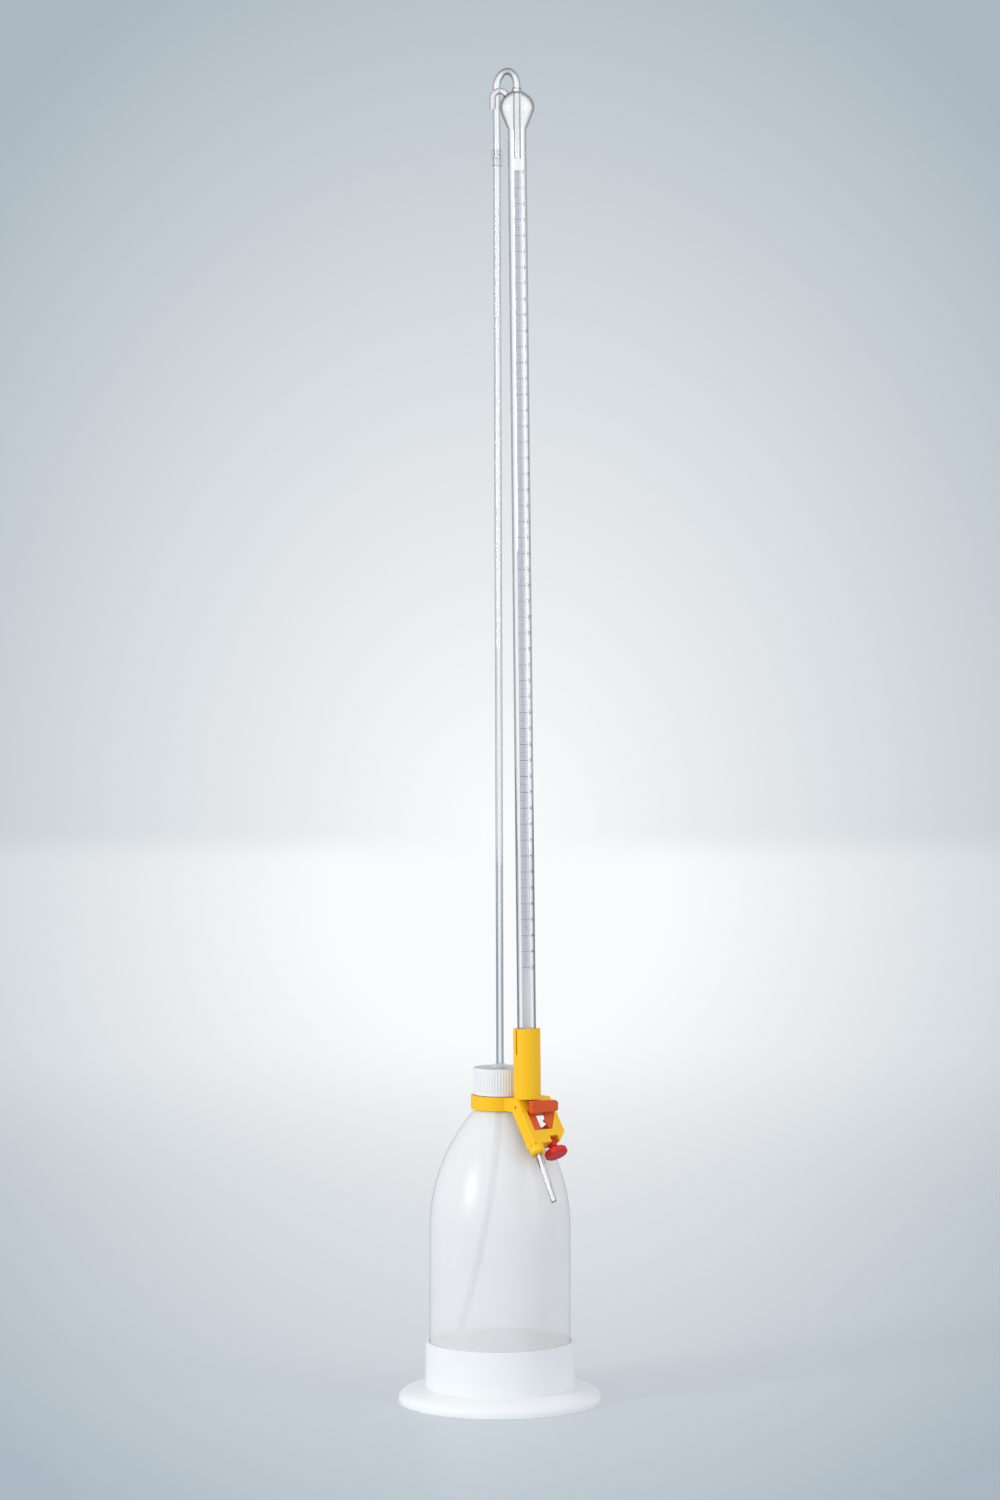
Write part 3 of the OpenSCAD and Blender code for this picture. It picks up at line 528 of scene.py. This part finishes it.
def glass_side(inset):
    """Outline from the nozzle to the sealed top, with soft turns at the bulb's foot and waist."""
    cone_slope = math.atan2(BULB_R - GLASS_R, BULB_CONE)
    cone_top = GLASS_FOOT + CONE_LEN
    nozzle_r = NOZZLE_R - inset * NOZZLE_THIN
    side = [(nozzle_r, GLASS_FOOT - NOZZLE_LEN), (nozzle_r, GLASS_FOOT - NOZZLE_TURN),
            (NOZZLE_R + NOZZLE_TURN - inset, GLASS_FOOT + NOZZLE_RISE),
            (GLASS_R - CONE_IN - inset, cone_top - CONE_BELOW),
            (GLASS_R - CONE_SOFT - inset, cone_top), (GLASS_R - inset, cone_top + CONE_ABOVE)]
    for i in range(WAIST_STEPS + 1):
        slope = cone_slope * i / WAIST_STEPS
        side.append((GLASS_R - inset + WAIST_R * (1 - math.cos(slope)),
                     BULB_FOOT - WAIST_DROP + WAIST_R * math.sin(slope)))
    for i in range(DOME_STEPS):
        angle = math.radians(DOME_FROM + DOME_STEP * i)
        side.append(((BULB_R - inset) * math.cos(angle), BULB_WIDE + (BULB_DOME - inset) * math.sin(angle)))
    return [p for p in side if p[1] < BULB_TOP - DOME_CUT - inset] + [
        (seal_r + out - inset * thin, BULB_TOP + up - inset * sink) for out, thin, up, sink in FLARE]


outside = glass_side(0) + [(seal_r, BULB_TOP + SEAL_TOP)]
inside = glass_side(GLASS_WALL) + [(seal_r, BULB_TOP + SEAL_FOOT)]
burette = lathe("burette_glass", outside + inside[::-1], BURETTE, GLASS, 96)
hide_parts("burette_tube")
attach(burette, "stand")

# %% [markdown]
# A strip of milk glass runs down the back of the bore, so that the marks can be read against it. It is a
# thin closed strip, bent to the wall, and the same helper makes the printed marks later.

# %% Milk strip
SCALE_ZERO, SCALE_FACE, FILM_GAP, FILM_T = 618, -41, 0.06, 0.08
STRIP_HALF, STRIP_FOOT, STRIP_OVER, STRIP_STEPS = 34, 46, 3, 20


def bent_strip(name, middle, half, radii, levels, count, place, material):
    """A thin closed strip bent round the axis, reaching half an angle either side of the middle."""
    verts, faces = [], []
    for i in range(count + 1):
        angle = middle - half + 2 * half * i / count
        verts += [(*polar(radius, angle), level) for radius in radii for level in levels]
    for i in range(count):
        a, b = 4 * i, 4 * (i + 1)
        faces += [(a, a + 1, b + 1, b), (a + 2, b + 2, b + 3, a + 3),
                  (a, b, b + 2, a + 2), (a + 1, a + 3, b + 3, b + 1)]
    end = 4 * count
    faces += [(0, 2, 3, 1), (end, end + 1, end + 3, end + 2)]
    return finish_mesh(name, verts, faces, place, material)


bore_r = GLASS_R - GLASS_WALL - FILM_GAP
strip = bent_strip("milk_strip", math.radians(SCALE_FACE + 180), math.radians(STRIP_HALF),
                   (bore_r - FILM_T, bore_r), (STRIP_FOOT, SCALE_ZERO + STRIP_OVER), STRIP_STEPS,
                   BURETTE, MILK)
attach(strip, "stand")

# %% [markdown]
# The overflow bend brings the liquid over the top and drains what is too much: its inner end hangs in the
# tube and sets the zero. It is one tube along a path of leg, arch and zero tube, so a sweep fits. Near the
# sleeve its leg is necked, with a soft barb.

# %% Overflow bend
SLEEVE_DROP, BUTT_GAP = 15.7, 0.1
SLEEVE_MID = BULB_FOOT - SLEEVE_DROP
BARB_STEP, BARB_R, BARB_NECK = 2.4, 0.35, 0.3
LEG_STEPS, ARCH_STEPS, ZERO_STEPS = 60, 40, 40
leg_foot, zero_end = SLEEVE_MID + BUTT_GAP, BULB_FOOT - ZERO_DROP
bend_path = [(-BEND_PITCH, 0, leg_foot + (BEND_Z - leg_foot) * i / LEG_STEPS) for i in range(LEG_STEPS)]
bend_path += [(x - BEND_PITCH / 2, 0, z) for x, z in arc((0, BEND_Z), BEND_PITCH / 2, 180, 0, ARCH_STEPS)]
bend_path += [(0, 0, BEND_Z + (zero_end - BEND_Z) * i / ZERO_STEPS) for i in range(1, ZERO_STEPS + 1)]
bend_last = len(bend_path) - 1


def bend_outer(share):
    """The tube's radius, with the neck and its barb at the foot of the leg."""
    rise = bend_path[round(share * bend_last)][2] - SLEEVE_MID
    if share < LEG_STEPS / bend_last and rise < 2 * BARB_STEP:
        radius = BEND_R + BARB_R * max(0, math.sin(math.pi * rise / BARB_STEP)) - BARB_NECK
        return radius, radius
    return BEND_R, BEND_R


bend = sweep("overflow_glass", bend_path, bend_outer, even(BEND_R - GLASS_WALL), BURETTE, THIN_GLASS)
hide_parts("overflow_bend")
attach(bend, "stand")

# %% [markdown]
# The vent hook lets air in and out of the bulb. It rises from the bulb's shoulder, turns over and points
# down, so that no dust falls in.

# %% Vent hook
VENT_R, VENT_TURN_R, VENT_LEG, VENT_DIR = 2.2, 5, 7, 243
VENT_ROOM, VENT_RISE, VENT_START = 1.7, 5.6, 150
VENT_TURN_STEPS, VENT_LEG_STEPS = 28, 8
VENT_AXIS = VENT_R + BEND_R + VENT_ROOM
VENT_Z = BULB_WIDE + VENT_RISE
vent_path = [(VENT_AXIS + VENT_TURN_R + x, 0, z)
             for x, z in arc((0, VENT_Z), VENT_TURN_R, VENT_START, 0, VENT_TURN_STEPS)]
vent_path += [(VENT_AXIS + 2 * VENT_TURN_R, 0, VENT_Z - VENT_LEG * i / VENT_LEG_STEPS)
              for i in range(1, VENT_LEG_STEPS + 1)]
vent = sweep("vent_glass", vent_path, even(VENT_R), even(VENT_R - GLASS_WALL),
             BURETTE @ turn("Z", VENT_DIR), THIN_GLASS)
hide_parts("vent_hook")
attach(vent, "stand")

# %% [markdown]
# The dropping tip is a drawn glass tube with a fine bore and a fire-polished end. The bore looks white from
# outside, which a clear tube this thin doesn't show, so a white core stands in it: painted light for the
# bright backdrop seen through the bore.

# %% Dropping tip
NOSE_B, TIP_SPLAY, TIP_LEN, TIP_R, TIP_END_R, TIP_BORE_R = 28, 6, 42.5, 2.25, 1.75, 0.8
FERRULE_LEN, TIP_SHOULDER, HOSE_BORE_R, HOSE_R = 7.5, 4.6, 1.25, 2.5
POLISH_FLAT, POLISH_ROUND, POLISH_LEN = 0.5, 0.15, 0.6
TAPER_DROP, SHOULDER_ROUND, TIP_TOP, BORE_STEP = 4, 0.4, 0.9, 12
NOSE_A = -math.tan(math.radians(SPLAY)) * NOSE_B
TIP = ARM @ shift(0, NOSE_A, -NOSE_B) @ turn("X", -TIP_SPLAY)
tip_outline = [(TIP_BORE_R, -TIP_LEN), (TIP_END_R - POLISH_FLAT, -TIP_LEN),
               (TIP_END_R - POLISH_ROUND, -TIP_LEN + POLISH_ROUND), (TIP_END_R, -TIP_LEN + POLISH_LEN),
               (TIP_R, -FERRULE_LEN - TAPER_DROP), (TIP_R, -TIP_SHOULDER - SHOULDER_ROUND),
               (TIP_R - SHOULDER_ROUND, -TIP_SHOULDER), (HOSE_BORE_R, -TIP_SHOULDER), (HOSE_BORE_R, TIP_TOP),
               (TIP_BORE_R, TIP_TOP), (TIP_BORE_R, -TIP_LEN + BORE_STEP)]
tip = lathe("dropping_tip_glass", tip_outline, TIP, GLASS, 48)
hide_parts("dropping_tip")
core_r, core_foot = TIP_BORE_R - FILM_GAP, -TIP_LEN + POLISH_LEN
core_outline = [(0, core_foot), (core_r, core_foot), (core_r, -TIP_SHOULDER), (0, -TIP_SHOULDER)]
# The white core is painted light for the bright backdrop seen through the bore.
tip_core = lathe("tip_core", core_outline, TIP, BORE_LIGHT, 24)
for piece in (tip, tip_core):
    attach(piece, "stand")

# %% [markdown]
# ## Soft pieces
# The sleeve, the cushion and the seal are soft rings, so their edges are rounded, and the sleeve bulges
# where the barb stretches it. One function turns all three from their inner and outer radius.

# %% Soft rings
SLEEVE_R, SLEEVE_LEN, SLEEVE_FIT, SLEEVE_BULGE = 3.4, 10.9, 0.1, 0.25
CUSHION_Z, CUSHION_INSET, MOVE_GAP, RUN_GAP = 13, 0.2, 0.3, 0.05
SEAL_INSET, SEAL_ROUND, SIDE_STEPS, CORNER_SHARE = 0.2, 0.2, 12, 0.3


def soft_ring(name, node, body, inner_r, outer_r, low, high, place, bulge=0.0, round_r=0.35, material=SOFT):
    """A ring with rounded edges, and a bulge round its upper half where a barb stretches it."""
    side = []
    for i in range(SIDE_STEPS + 1):
        share = i / SIDE_STEPS
        swell = bulge * max(0, math.sin(math.tau * 2 * (share - 0.5))) if share > 0.5 else 0
        side.append((outer_r + swell, low + round_r + (high - low - 2 * round_r) * share))
    corner = round_r * CORNER_SHARE
    outline = ([(inner_r, low + corner), (inner_r + corner, low), (outer_r - round_r, low),
                (outer_r - corner, low + corner)] + side
               + [(outer_r - corner, high - corner), (outer_r - round_r, high), (inner_r + corner, high),
                  (inner_r, high - corner)])
    made = lathe(name, outline, place, material, 64)
    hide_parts(node)
    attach(made, body)


soft_ring("connector_sleeve_soft", "connector_sleeve", "stand", BEND_R + SLEEVE_FIT, SLEEVE_R,
          SLEEVE_MID - SLEEVE_LEN / 2, SLEEVE_MID + SLEEVE_LEN / 2, BURETTE @ shift(-BEND_PITCH),
          bulge=SLEEVE_BULGE, material=TUBING)
soft_ring("cushion_soft", "socket_cushion", "stand", HOSE_R + MOVE_GAP, GLASS_R - CUSHION_INSET,
          CUSHION_Z, GLASS_FOOT, BURETTE)
RISER_R, GROMMET_WALL, GROMMET_FLANGE_W = 2.45, 1.4, 3
GROMMET_BORE = RISER_R + MOVE_GAP
GROMMET_WAIST, GROMMET_FLANGE = GROMMET_BORE + GROMMET_WALL, GROMMET_BORE + GROMMET_FLANGE_W
SEAL_Z = MOUTH_Z + FACE_GAP
soft_ring("cap_seal_soft", "cap_seal", "cap_insert", GROMMET_WAIST + RUN_GAP, MOUTH_R - SEAL_INSET, SEAL_Z,
          SEAL_Z + SEAL_T, Matrix(), round_r=SEAL_ROUND)

# %% [markdown]
# The grommet is a soft boss that holds the riser in the cap. It has a lip under the seal and a flange with
# a domed boss on top; the waist between them fills the cap's hole.

# %% Grommet
LIP_T, LIP_EDGE = 1.2, 0.9
FLANGE_SIDE = ((-0.2, 0), (0, 0.3), (-0.1, 0.9), (-0.9, 1.5))
BOSS_SIDE = ((0.8, 2.2), (0.4, 2.6), (0, 2.5))
flange_z = CAP_Z + CAP_H + FACE_GAP
lip_rim = GROMMET_FLANGE - (LIP_T - LIP_EDGE)
grommet_outline = [(GROMMET_BORE, SEAL_Z - LIP_T), (lip_rim, SEAL_Z - LIP_T),
                   (GROMMET_FLANGE, SEAL_Z - LIP_EDGE), (GROMMET_FLANGE, SEAL_Z - RUN_GAP),
                   (GROMMET_WAIST, SEAL_Z - RUN_GAP), (GROMMET_WAIST, flange_z)]
grommet_outline += [(GROMMET_FLANGE + out, flange_z + up) for out, up in FLANGE_SIDE]
grommet_outline += [(GROMMET_BORE + out, flange_z + up) for out, up in BOSS_SIDE]
grommet = lathe("riser_grommet_soft", grommet_outline, Matrix(), SOFT, 64)
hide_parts("riser_grommet")
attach(grommet, "cap_insert")

# %% [markdown]
# The riser is a straight clear tube from the cap to the sleeve. Its tilt and length follow from where
# those two are.

# %% Riser
RISER_BORE_R, RISER_FOOT, RISER_ROUND = 1.5, 2, 0.1
riser_z = SEAL_Z + RISER_FOOT
lean = math.radians(LEAN)
joint_r = REACH - BEND_PITCH * math.cos(lean) - SLEEVE_MID * math.sin(lean)
joint_z = ARM_Z - BEND_PITCH * math.sin(lean) + SLEEVE_MID * math.cos(lean)
riser_tilt = math.atan2(-joint_r, joint_z - riser_z)
riser_len = (joint_z - riser_z) / math.cos(riser_tilt) - BUTT_GAP
RISER = turn("Z", HOLDER_DIR) @ shift(z=riser_z) @ turn("Y", -math.degrees(riser_tilt))
riser_outline = [(RISER_BORE_R, 0), (RISER_R - RISER_ROUND, 0), (RISER_R, RISER_ROUND),
                 (RISER_R, riser_len - RISER_ROUND), (RISER_R - RISER_ROUND, riser_len),
                 (RISER_BORE_R, riser_len)]
riser = lathe("riser_clear", riser_outline, RISER, TUBE, 48)
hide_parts("riser_tube")
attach(riser, "stand")

# %% [markdown]
# The pinch tube is soft hose from the glass to the tip. It runs down, bends into the slanted arm and is
# pressed flat between the jaw and the anvil. A sweep with changing radii gives the flat place.

# %% Pinch tube
PINCH_B, JAW_H, PINCH_GAP, HOSE_BEND_R, HOSE_END = 14, 3, 2.9, 16, 4.2
HOSE_LEVELS, HOSE_BEND_STEPS, HOSE_STEPS = (13.6, 12, 10, 8, 6.6), 12, 40
PINCH_EASE, PINCH_PLAY, FLAT_BORE = 3.2, 0.3, 0.12
arm_turn = math.radians(SLANT - LEAN)
splay = math.radians(SPLAY)
hose_turn = math.acos(math.cos(splay) * math.cos(arm_turn))
hose_dir = math.atan2(-math.sin(splay), math.cos(splay) * math.sin(arm_turn))
hose_tangent = HOSE_BEND_R * math.tan(hose_turn / 2)
hose_foot = NOSE_B / math.cos(splay) + HOSE_END
heading, down = Vector((math.cos(hose_dir), math.sin(hose_dir), 0)), Vector((0, 0, -1))
hose_path = [Vector((0, 0, z)) for z in HOSE_LEVELS]
for i in range(HOSE_BEND_STEPS + 1):
    bend_angle = hose_turn * i / HOSE_BEND_STEPS
    hose_path.append(Vector((0, 0, hose_tangent)) + heading * HOSE_BEND_R * (1 - math.cos(bend_angle))
                     + down * HOSE_BEND_R * math.sin(bend_angle))
bend_end = len(hose_path) - 1
hose_way = heading * math.sin(hose_turn) + down * math.cos(hose_turn)
hose_path += [hose_way * (hose_tangent + (hose_foot - hose_tangent) * i / HOSE_STEPS)
              for i in range(1, HOSE_STEPS + 1)]
hose_last = len(hose_path) - 1


def squeeze(share):
    """How far the tube is flattened: full at the jaw, easing out either side of it."""
    if share <= bend_end / hose_last:
        return 0
    along = hose_path[round(share * hose_last)].length * math.cos(splay)
    return max(0, 1 - max(0, abs(along - PINCH_B) - JAW_H / 2) / PINCH_EASE)


def hose_radii(radius, flat, spread):
    def at(share):
        ease = squeeze(share) ** 2 * (3 - 2 * squeeze(share))
        return (radius + (flat - radius) * ease, radius + (spread - radius) * ease)
    return at


hose_outer = hose_radii(HOSE_R, PINCH_GAP / 2 - PINCH_PLAY, HOSE_R + PINCH_PLAY)
hose_inner = hose_radii(HOSE_BORE_R, FLAT_BORE, HOSE_BORE_R)
hose = sweep("pinch_tube_soft", hose_path, hose_outer, hose_inner, BURETTE, SOFT, 28)
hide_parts("pinch_tube")
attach(hose, "stand")

# %% [markdown]
# The return spring closes the pinchcock. It is a coil between the anvil and the button, made here at one
# length; on the real pinchcock it shortens towards the anvil as the button goes in.

# %% Return spring
SPRING_R, SPRING_WIRE, SPRING_TURNS, SPRING_B, SPRING_N = 1.5, 0.45, 5, 17.2, -1.4
ANVIL_T, COIL_STEPS, WIRE_CORE = 1.7, 24, 0.1
anvil_face = -math.tan(splay) * PINCH_B + PINCH_GAP / 2
SPRING_LEFT, SPRING_RIGHT = anvil_face + ANVIL_T + MOVE_GAP, 6.5
half_wire = SPRING_WIRE / 2
coil_len = SPRING_RIGHT - SPRING_LEFT - SPRING_WIRE
spring_steps = COIL_STEPS * SPRING_TURNS
spring_path = []
for step in range(spring_steps + 1):
    across, up = polar(SPRING_R, math.tau * step / COIL_STEPS)
    spring_path.append((SPRING_N + across, SPRING_LEFT + half_wire + coil_len * step / spring_steps,
                        -SPRING_B + up))
spring = sweep("return_spring_coil", spring_path, even(half_wire), even(half_wire * WIRE_CORE), ARM, STEEL,
               10)
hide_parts("return_spring")
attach(spring, "stand")
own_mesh(spring)

# %% [markdown]
# ## The printed scale
# Fifty millilitres in tenths is five hundred lines, too many to draw by hand. A Geometry Nodes tree puts
# one curved mark at each point of a line down the glass. Its inputs are the mark, the count, the step and
# the ink, so one tree makes all three rows.

# %% Row of marks
ROW_INPUTS = (("Mark", "Object"), ("Count", "Int"), ("Step", "Float"), ("Ink", "Material"))


def row_tree():
    tree = bpy.data.node_groups.new("scale_row", "GeometryNodeTree")
    face = tree.interface
    face.new_socket("Geometry", in_out="INPUT", socket_type="NodeSocketGeometry")
    sockets = {}
    for label, kind in ROW_INPUTS:
        sockets[label] = face.new_socket(label, in_out="INPUT", socket_type="NodeSocket" + kind).identifier
    face.new_socket("Geometry", in_out="OUTPUT", socket_type="NodeSocketGeometry")
    add = tree.nodes.new
    start, end = add("NodeGroupInput"), add("NodeGroupOutput")
    line, offset = add("GeometryNodeMeshLine"), add("ShaderNodeCombineXYZ")
    mark, spread = add("GeometryNodeObjectInfo"), add("GeometryNodeInstanceOnPoints")
    real, paint = add("GeometryNodeRealizeInstances"), add("GeometryNodeSetMaterial")
    for first, second in ((start.outputs["Count"], line.inputs["Count"]),
                          (start.outputs["Step"], offset.inputs["Z"]),
                          (offset.outputs[0], line.inputs["Offset"]),
                          (start.outputs["Mark"], mark.inputs["Object"]),
                          (line.outputs[0], spread.inputs["Points"]),
                          (mark.outputs["Geometry"], spread.inputs["Instance"]),
                          (spread.outputs[0], real.inputs[0]),
                          (real.outputs[0], paint.inputs["Geometry"]),
                          (start.outputs["Ink"], paint.inputs["Material"]),
                          (paint.outputs[0], end.inputs[0])):
        tree.links.new(first, second)
    return tree, sockets


ROW, ROW_IN = row_tree()
print("row inputs", list(ROW_IN))

# %% [markdown]
# A mark is a thin strip bent to the glass on the side that faces the reader. Longer and bolder marks stand
# at the halves and the whole millilitres, over the shorter ones.

# %% Marks
SCALE_STEP, LAST_MARK, INK_T, INK_LIFT, MARK_STEPS = 10.52, 50, 0.03, 0.005, 8


def scale_row(name, width, height, count, step):
    """A row of marks from zero downwards, as one plain mesh on the glass."""
    mark = bent_strip(name + "_one", math.radians(SCALE_FACE), width / 2 / GLASS_R,
                      (GLASS_R + INK_LIFT, GLASS_R + INK_T), (-height / 2, height / 2), MARK_STEPS,
                      Matrix(), INK)
    holder = bpy.data.objects.new(name, bpy.data.meshes.new(name))
    bpy.context.scene.collection.objects.link(holder)
    row = holder.modifiers.new("row", "NODES")
    row.node_group = ROW
    for label, value in (("Mark", mark), ("Count", count), ("Step", -step * MM), ("Ink", INK)):
        row[ROW_IN[label]] = value
    bpy.context.view_layer.update()
    ready = bpy.data.meshes.new_from_object(holder.evaluated_get(bpy.context.evaluated_depsgraph_get()))
    holder.modifiers.clear()
    holder.data = ready
    holder.data.transform(BURETTE @ shift(z=SCALE_ZERO))
    bpy.data.objects.remove(mark)
    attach(holder, "stand")
    print(name, len(ready.polygons), "faces")


for row_name, width, height, per_ml in (("scale_tenths", 2.2, 0.18, 10), ("scale_halves", 3.4, 0.24, 2),
                                        ("scale_ones", 5.2, 0.36, 1)):
    scale_row(row_name, width, height, per_ml * LAST_MARK + 1, SCALE_STEP / per_ml)

# %% [markdown]
# The numbers stand beside the whole millilitres. Blender's text is flat, so each one is made a mesh and
# its points are then bent round the glass.

# %% Numbers
NUMBER_SIZE, NUMBER_SIDE, NUMBER_SMOOTH = 3.4, 33, 3


def number_on_glass(value):
    """A plain number bent round the glass beside its mark."""
    text = bpy.data.curves.new(f"number_{value}", "FONT")
    text.body = str(value)
    text.size = NUMBER_SIZE
    text.align_x = "LEFT"
    text.align_y = "CENTER"
    text.extrude = INK_T / 2
    text.resolution_u = NUMBER_SMOOTH
    flat = bpy.data.objects.new(f"number_{value}", text)
    bpy.context.scene.collection.objects.link(flat)
    bpy.context.view_layer.update()
    mesh = bpy.data.meshes.new_from_object(flat.evaluated_get(bpy.context.evaluated_depsgraph_get()))
    bpy.data.objects.remove(flat)
    level = SCALE_ZERO - value * SCALE_STEP
    for vert in mesh.vertices:
        angle = math.radians(SCALE_FACE + NUMBER_SIDE) + vert.co.x / GLASS_R
        radius = GLASS_R + INK_T / 2 + INK_LIFT + vert.co.z
        vert.co = Vector((*polar(radius, angle), level + vert.co.y)) * MM
    return mesh


joined = bmesh.new()
for value in range(LAST_MARK + 1):
    joined.from_mesh(number_on_glass(value))
number_mesh = bpy.data.meshes.new("scale_numbers")
joined.to_mesh(number_mesh)
joined.free()
number_mesh.transform(BURETTE)
number_mesh.materials.clear()
number_mesh.materials.append(INK)
numbers = bpy.data.objects.new("scale_numbers", number_mesh)
bpy.context.scene.collection.objects.link(numbers)
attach(numbers, "stand")
print("scale_numbers", len(number_mesh.polygons), "faces")

# %% [markdown]
# ## Studio
# A pale bench runs back to a pale wall. Both carry a painted falloff of light, from white behind the object
# to a cool grey at the edges, on the bench as a fan that starts in front of the object. The shades are shown
# unlit by a share, so the lamps needn't be strong, and the bench keeps enough of its own light for a soft
# shadow. What is seen through glass is the wall at its palest, a painted glow as if a light panel stood
# behind the object.

# %% Stage
PALE, COOL = srgb(250, 251, 252), srgb(171, 184, 194)
BENCH_BACK, WALL_TOP, STAGE_HALF = 6.5, 5.0, 4.0
ASIDE, AHEAD_FROM, FAN_FOOT, BENCH_FADE = 1.75, 0.127, 2.625, (0.075, 0.36)
SEEN = ("Camera", "Glossy", "Transmission")


class Stage(Finish):
    def coordinate(self, axis):
        return self.node("SeparateXYZ", output=axis, Vector=self.place())

    # Painted falloff of light: the shade runs from pale to cool grey with distance.
    def shade(self, away, near, far):
        """Pale up to near, cool from far on."""
        return self.mix(self.node("MapRange", Value=away, i1=near, i2=far), PALE, COOL)

    def fan(self, across, depth):
        """The bench's shade at a place across, and at a depth from the fan's foot."""
        aside, ahead = across / depth * ASIDE, 1 / depth - AHEAD_FROM
        return self.shade((aside * aside + ahead * ahead) ** 0.5, *BENCH_FADE)

    def glow(self, share, colour):
        """Show the colour itself, unlit, by this share."""
        self.swap(share, self.node("Emission", Color=colour, Strength=1.0))


def plane(name, corners, material):
    mesh = bpy.data.meshes.new(name)
    mesh.from_pydata(corners, [], [(0, 1, 2, 3)])
    mesh.materials.append(material)
    made = bpy.data.objects.new(name, mesh)
    bpy.context.scene.collection.objects.link(made)
    print(name, corners[0], "to", corners[2])


# %% [markdown]
# At its foot the wall takes the shade of the bench's far end, and within a hand's breadth it eases into its
# own, so the horizon is soft.

# %% Bench and wall
WALL_MIDDLE, WALL_STRETCH, WALL_FADE, WALL_MATT, HORIZON_SOFT = 0.08, 1.7, (0.05, 2.25), 0.9, 0.09
BENCH_GLOW, BENCH_MATT, BENCH_SHINE, GLOW_FULL = 0.5, 0.3, 0.16, (0.7, 2.4)
wall = Stage("wall")
across, up = wall.coordinate("X"), wall.coordinate("Z") - WALL_MIDDLE
own_shade = wall.shade((across * across * WALL_STRETCH + up * up) ** 0.5, *WALL_FADE)
rise = wall.ease(wall.coordinate("Z"), 0.0, HORIZON_SOFT)
wall_shade = wall.mix(rise, wall.fan(across, BENCH_BACK + FAN_FOOT), own_shade)
wall.set(Base_Color=wall_shade, Roughness=WALL_MATT)
# Painted glow: rays through glass see the wall at its palest.
wall.glow(wall.ray(*SEEN), wall.mix(wall.ray("Transmission"), wall_shade, PALE))

bench = Stage("bench")
bench_shade = bench.fan(bench.coordinate("X"), bench.coordinate("Y") + FAN_FOOT)
bench.set(Base_Color=bench_shade, Roughness=BENCH_MATT, Specular_IOR_Level=BENCH_SHINE)
far_away = bench.ease(bench.coordinate("Y"), *GLOW_FULL)
bench.glow((far_away * (1 - BENCH_GLOW) + BENCH_GLOW) * bench.ray(*SEEN), bench_shade)

plane("bench", [(-STAGE_HALF, -STAGE_HALF, 0), (STAGE_HALF, -STAGE_HALF, 0),
                (STAGE_HALF, BENCH_BACK, 0), (-STAGE_HALF, BENCH_BACK, 0)], bench.material)
plane("wall", [(-STAGE_HALF, BENCH_BACK, 0), (STAGE_HALF, BENCH_BACK, 0),
               (STAGE_HALF, BENCH_BACK, WALL_TOP), (-STAGE_HALF, BENCH_BACK, WALL_TOP)], wall.material)

# %% [markdown]
# ## Light
# Most of the light is a soft sky, a little darker overhead so that the brim doesn't outshine the cup. A
# lamp at the left gives the bottle its highlight, and weaker ones at the right and above fill in.
# Reflections and refractions see a slightly darker sky, which draws the edges of glass.

# %% Sky
SKY_STRENGTH, OVERHEAD = 1.0, (0.3, 1.0)
SKY, SKY_TOP, DARK_SIDES = srgb(246, 247, 248), srgb(206, 210, 214), (0.8, 0.8, 0.82, 1)


class Sky(Finish):
    def __init__(self, name):
        self.world = bpy.data.worlds.new(name)
        self.world.use_nodes = True
        self.tree = self.world.node_tree
        self.shader = self.tree.nodes["Background"]


sky = Sky("sky")
height = sky.node("SeparateXYZ", output="Z", Vector=sky.node("TexCoord", output="Generated"))
open_sky = sky.mix(sky.ease(height, *OVERHEAD), SKY, SKY_TOP)
sky.set(Color=sky.mix(sky.ray("Glossy", "Transmission"), open_sky, DARK_SIDES), Strength=SKY_STRENGTH)
bpy.context.scene.world = sky.world
print("sky strength", SKY_STRENGTH)

# %% [markdown]
# The lamps are large soft boxes. Each one stands at its place and looks at its aim, so it can be moved
# without working out its angles.


# %% Lamps
def lamp(name, place, aim, size, power):
    light = bpy.data.lights.new(name, "AREA")
    light.shape = "RECTANGLE"
    light.size, light.size_y = size
    light.energy = power
    made = bpy.data.objects.new(name, light)
    made.location = place
    made.rotation_euler = (Vector(aim) - Vector(place)).to_track_quat("-Z", "Y").to_euler()
    bpy.context.scene.collection.objects.link(made)
    print(name, power, "W")


lamp("left_softbox", place=(-1.53, -1.11, 0.8), aim=(0, 0, 0.35), size=(0.5, 0.6), power=16.5)
lamp("right_softbox", place=(1.7, -0.9, 0.9), aim=(0, 0, 0.4), size=(0.5, 1.6), power=6.5)
lamp("top_softbox", place=(0.2, 0.4, 2.4), aim=(0, 0, 0), size=(1.4, 1.4), power=1)
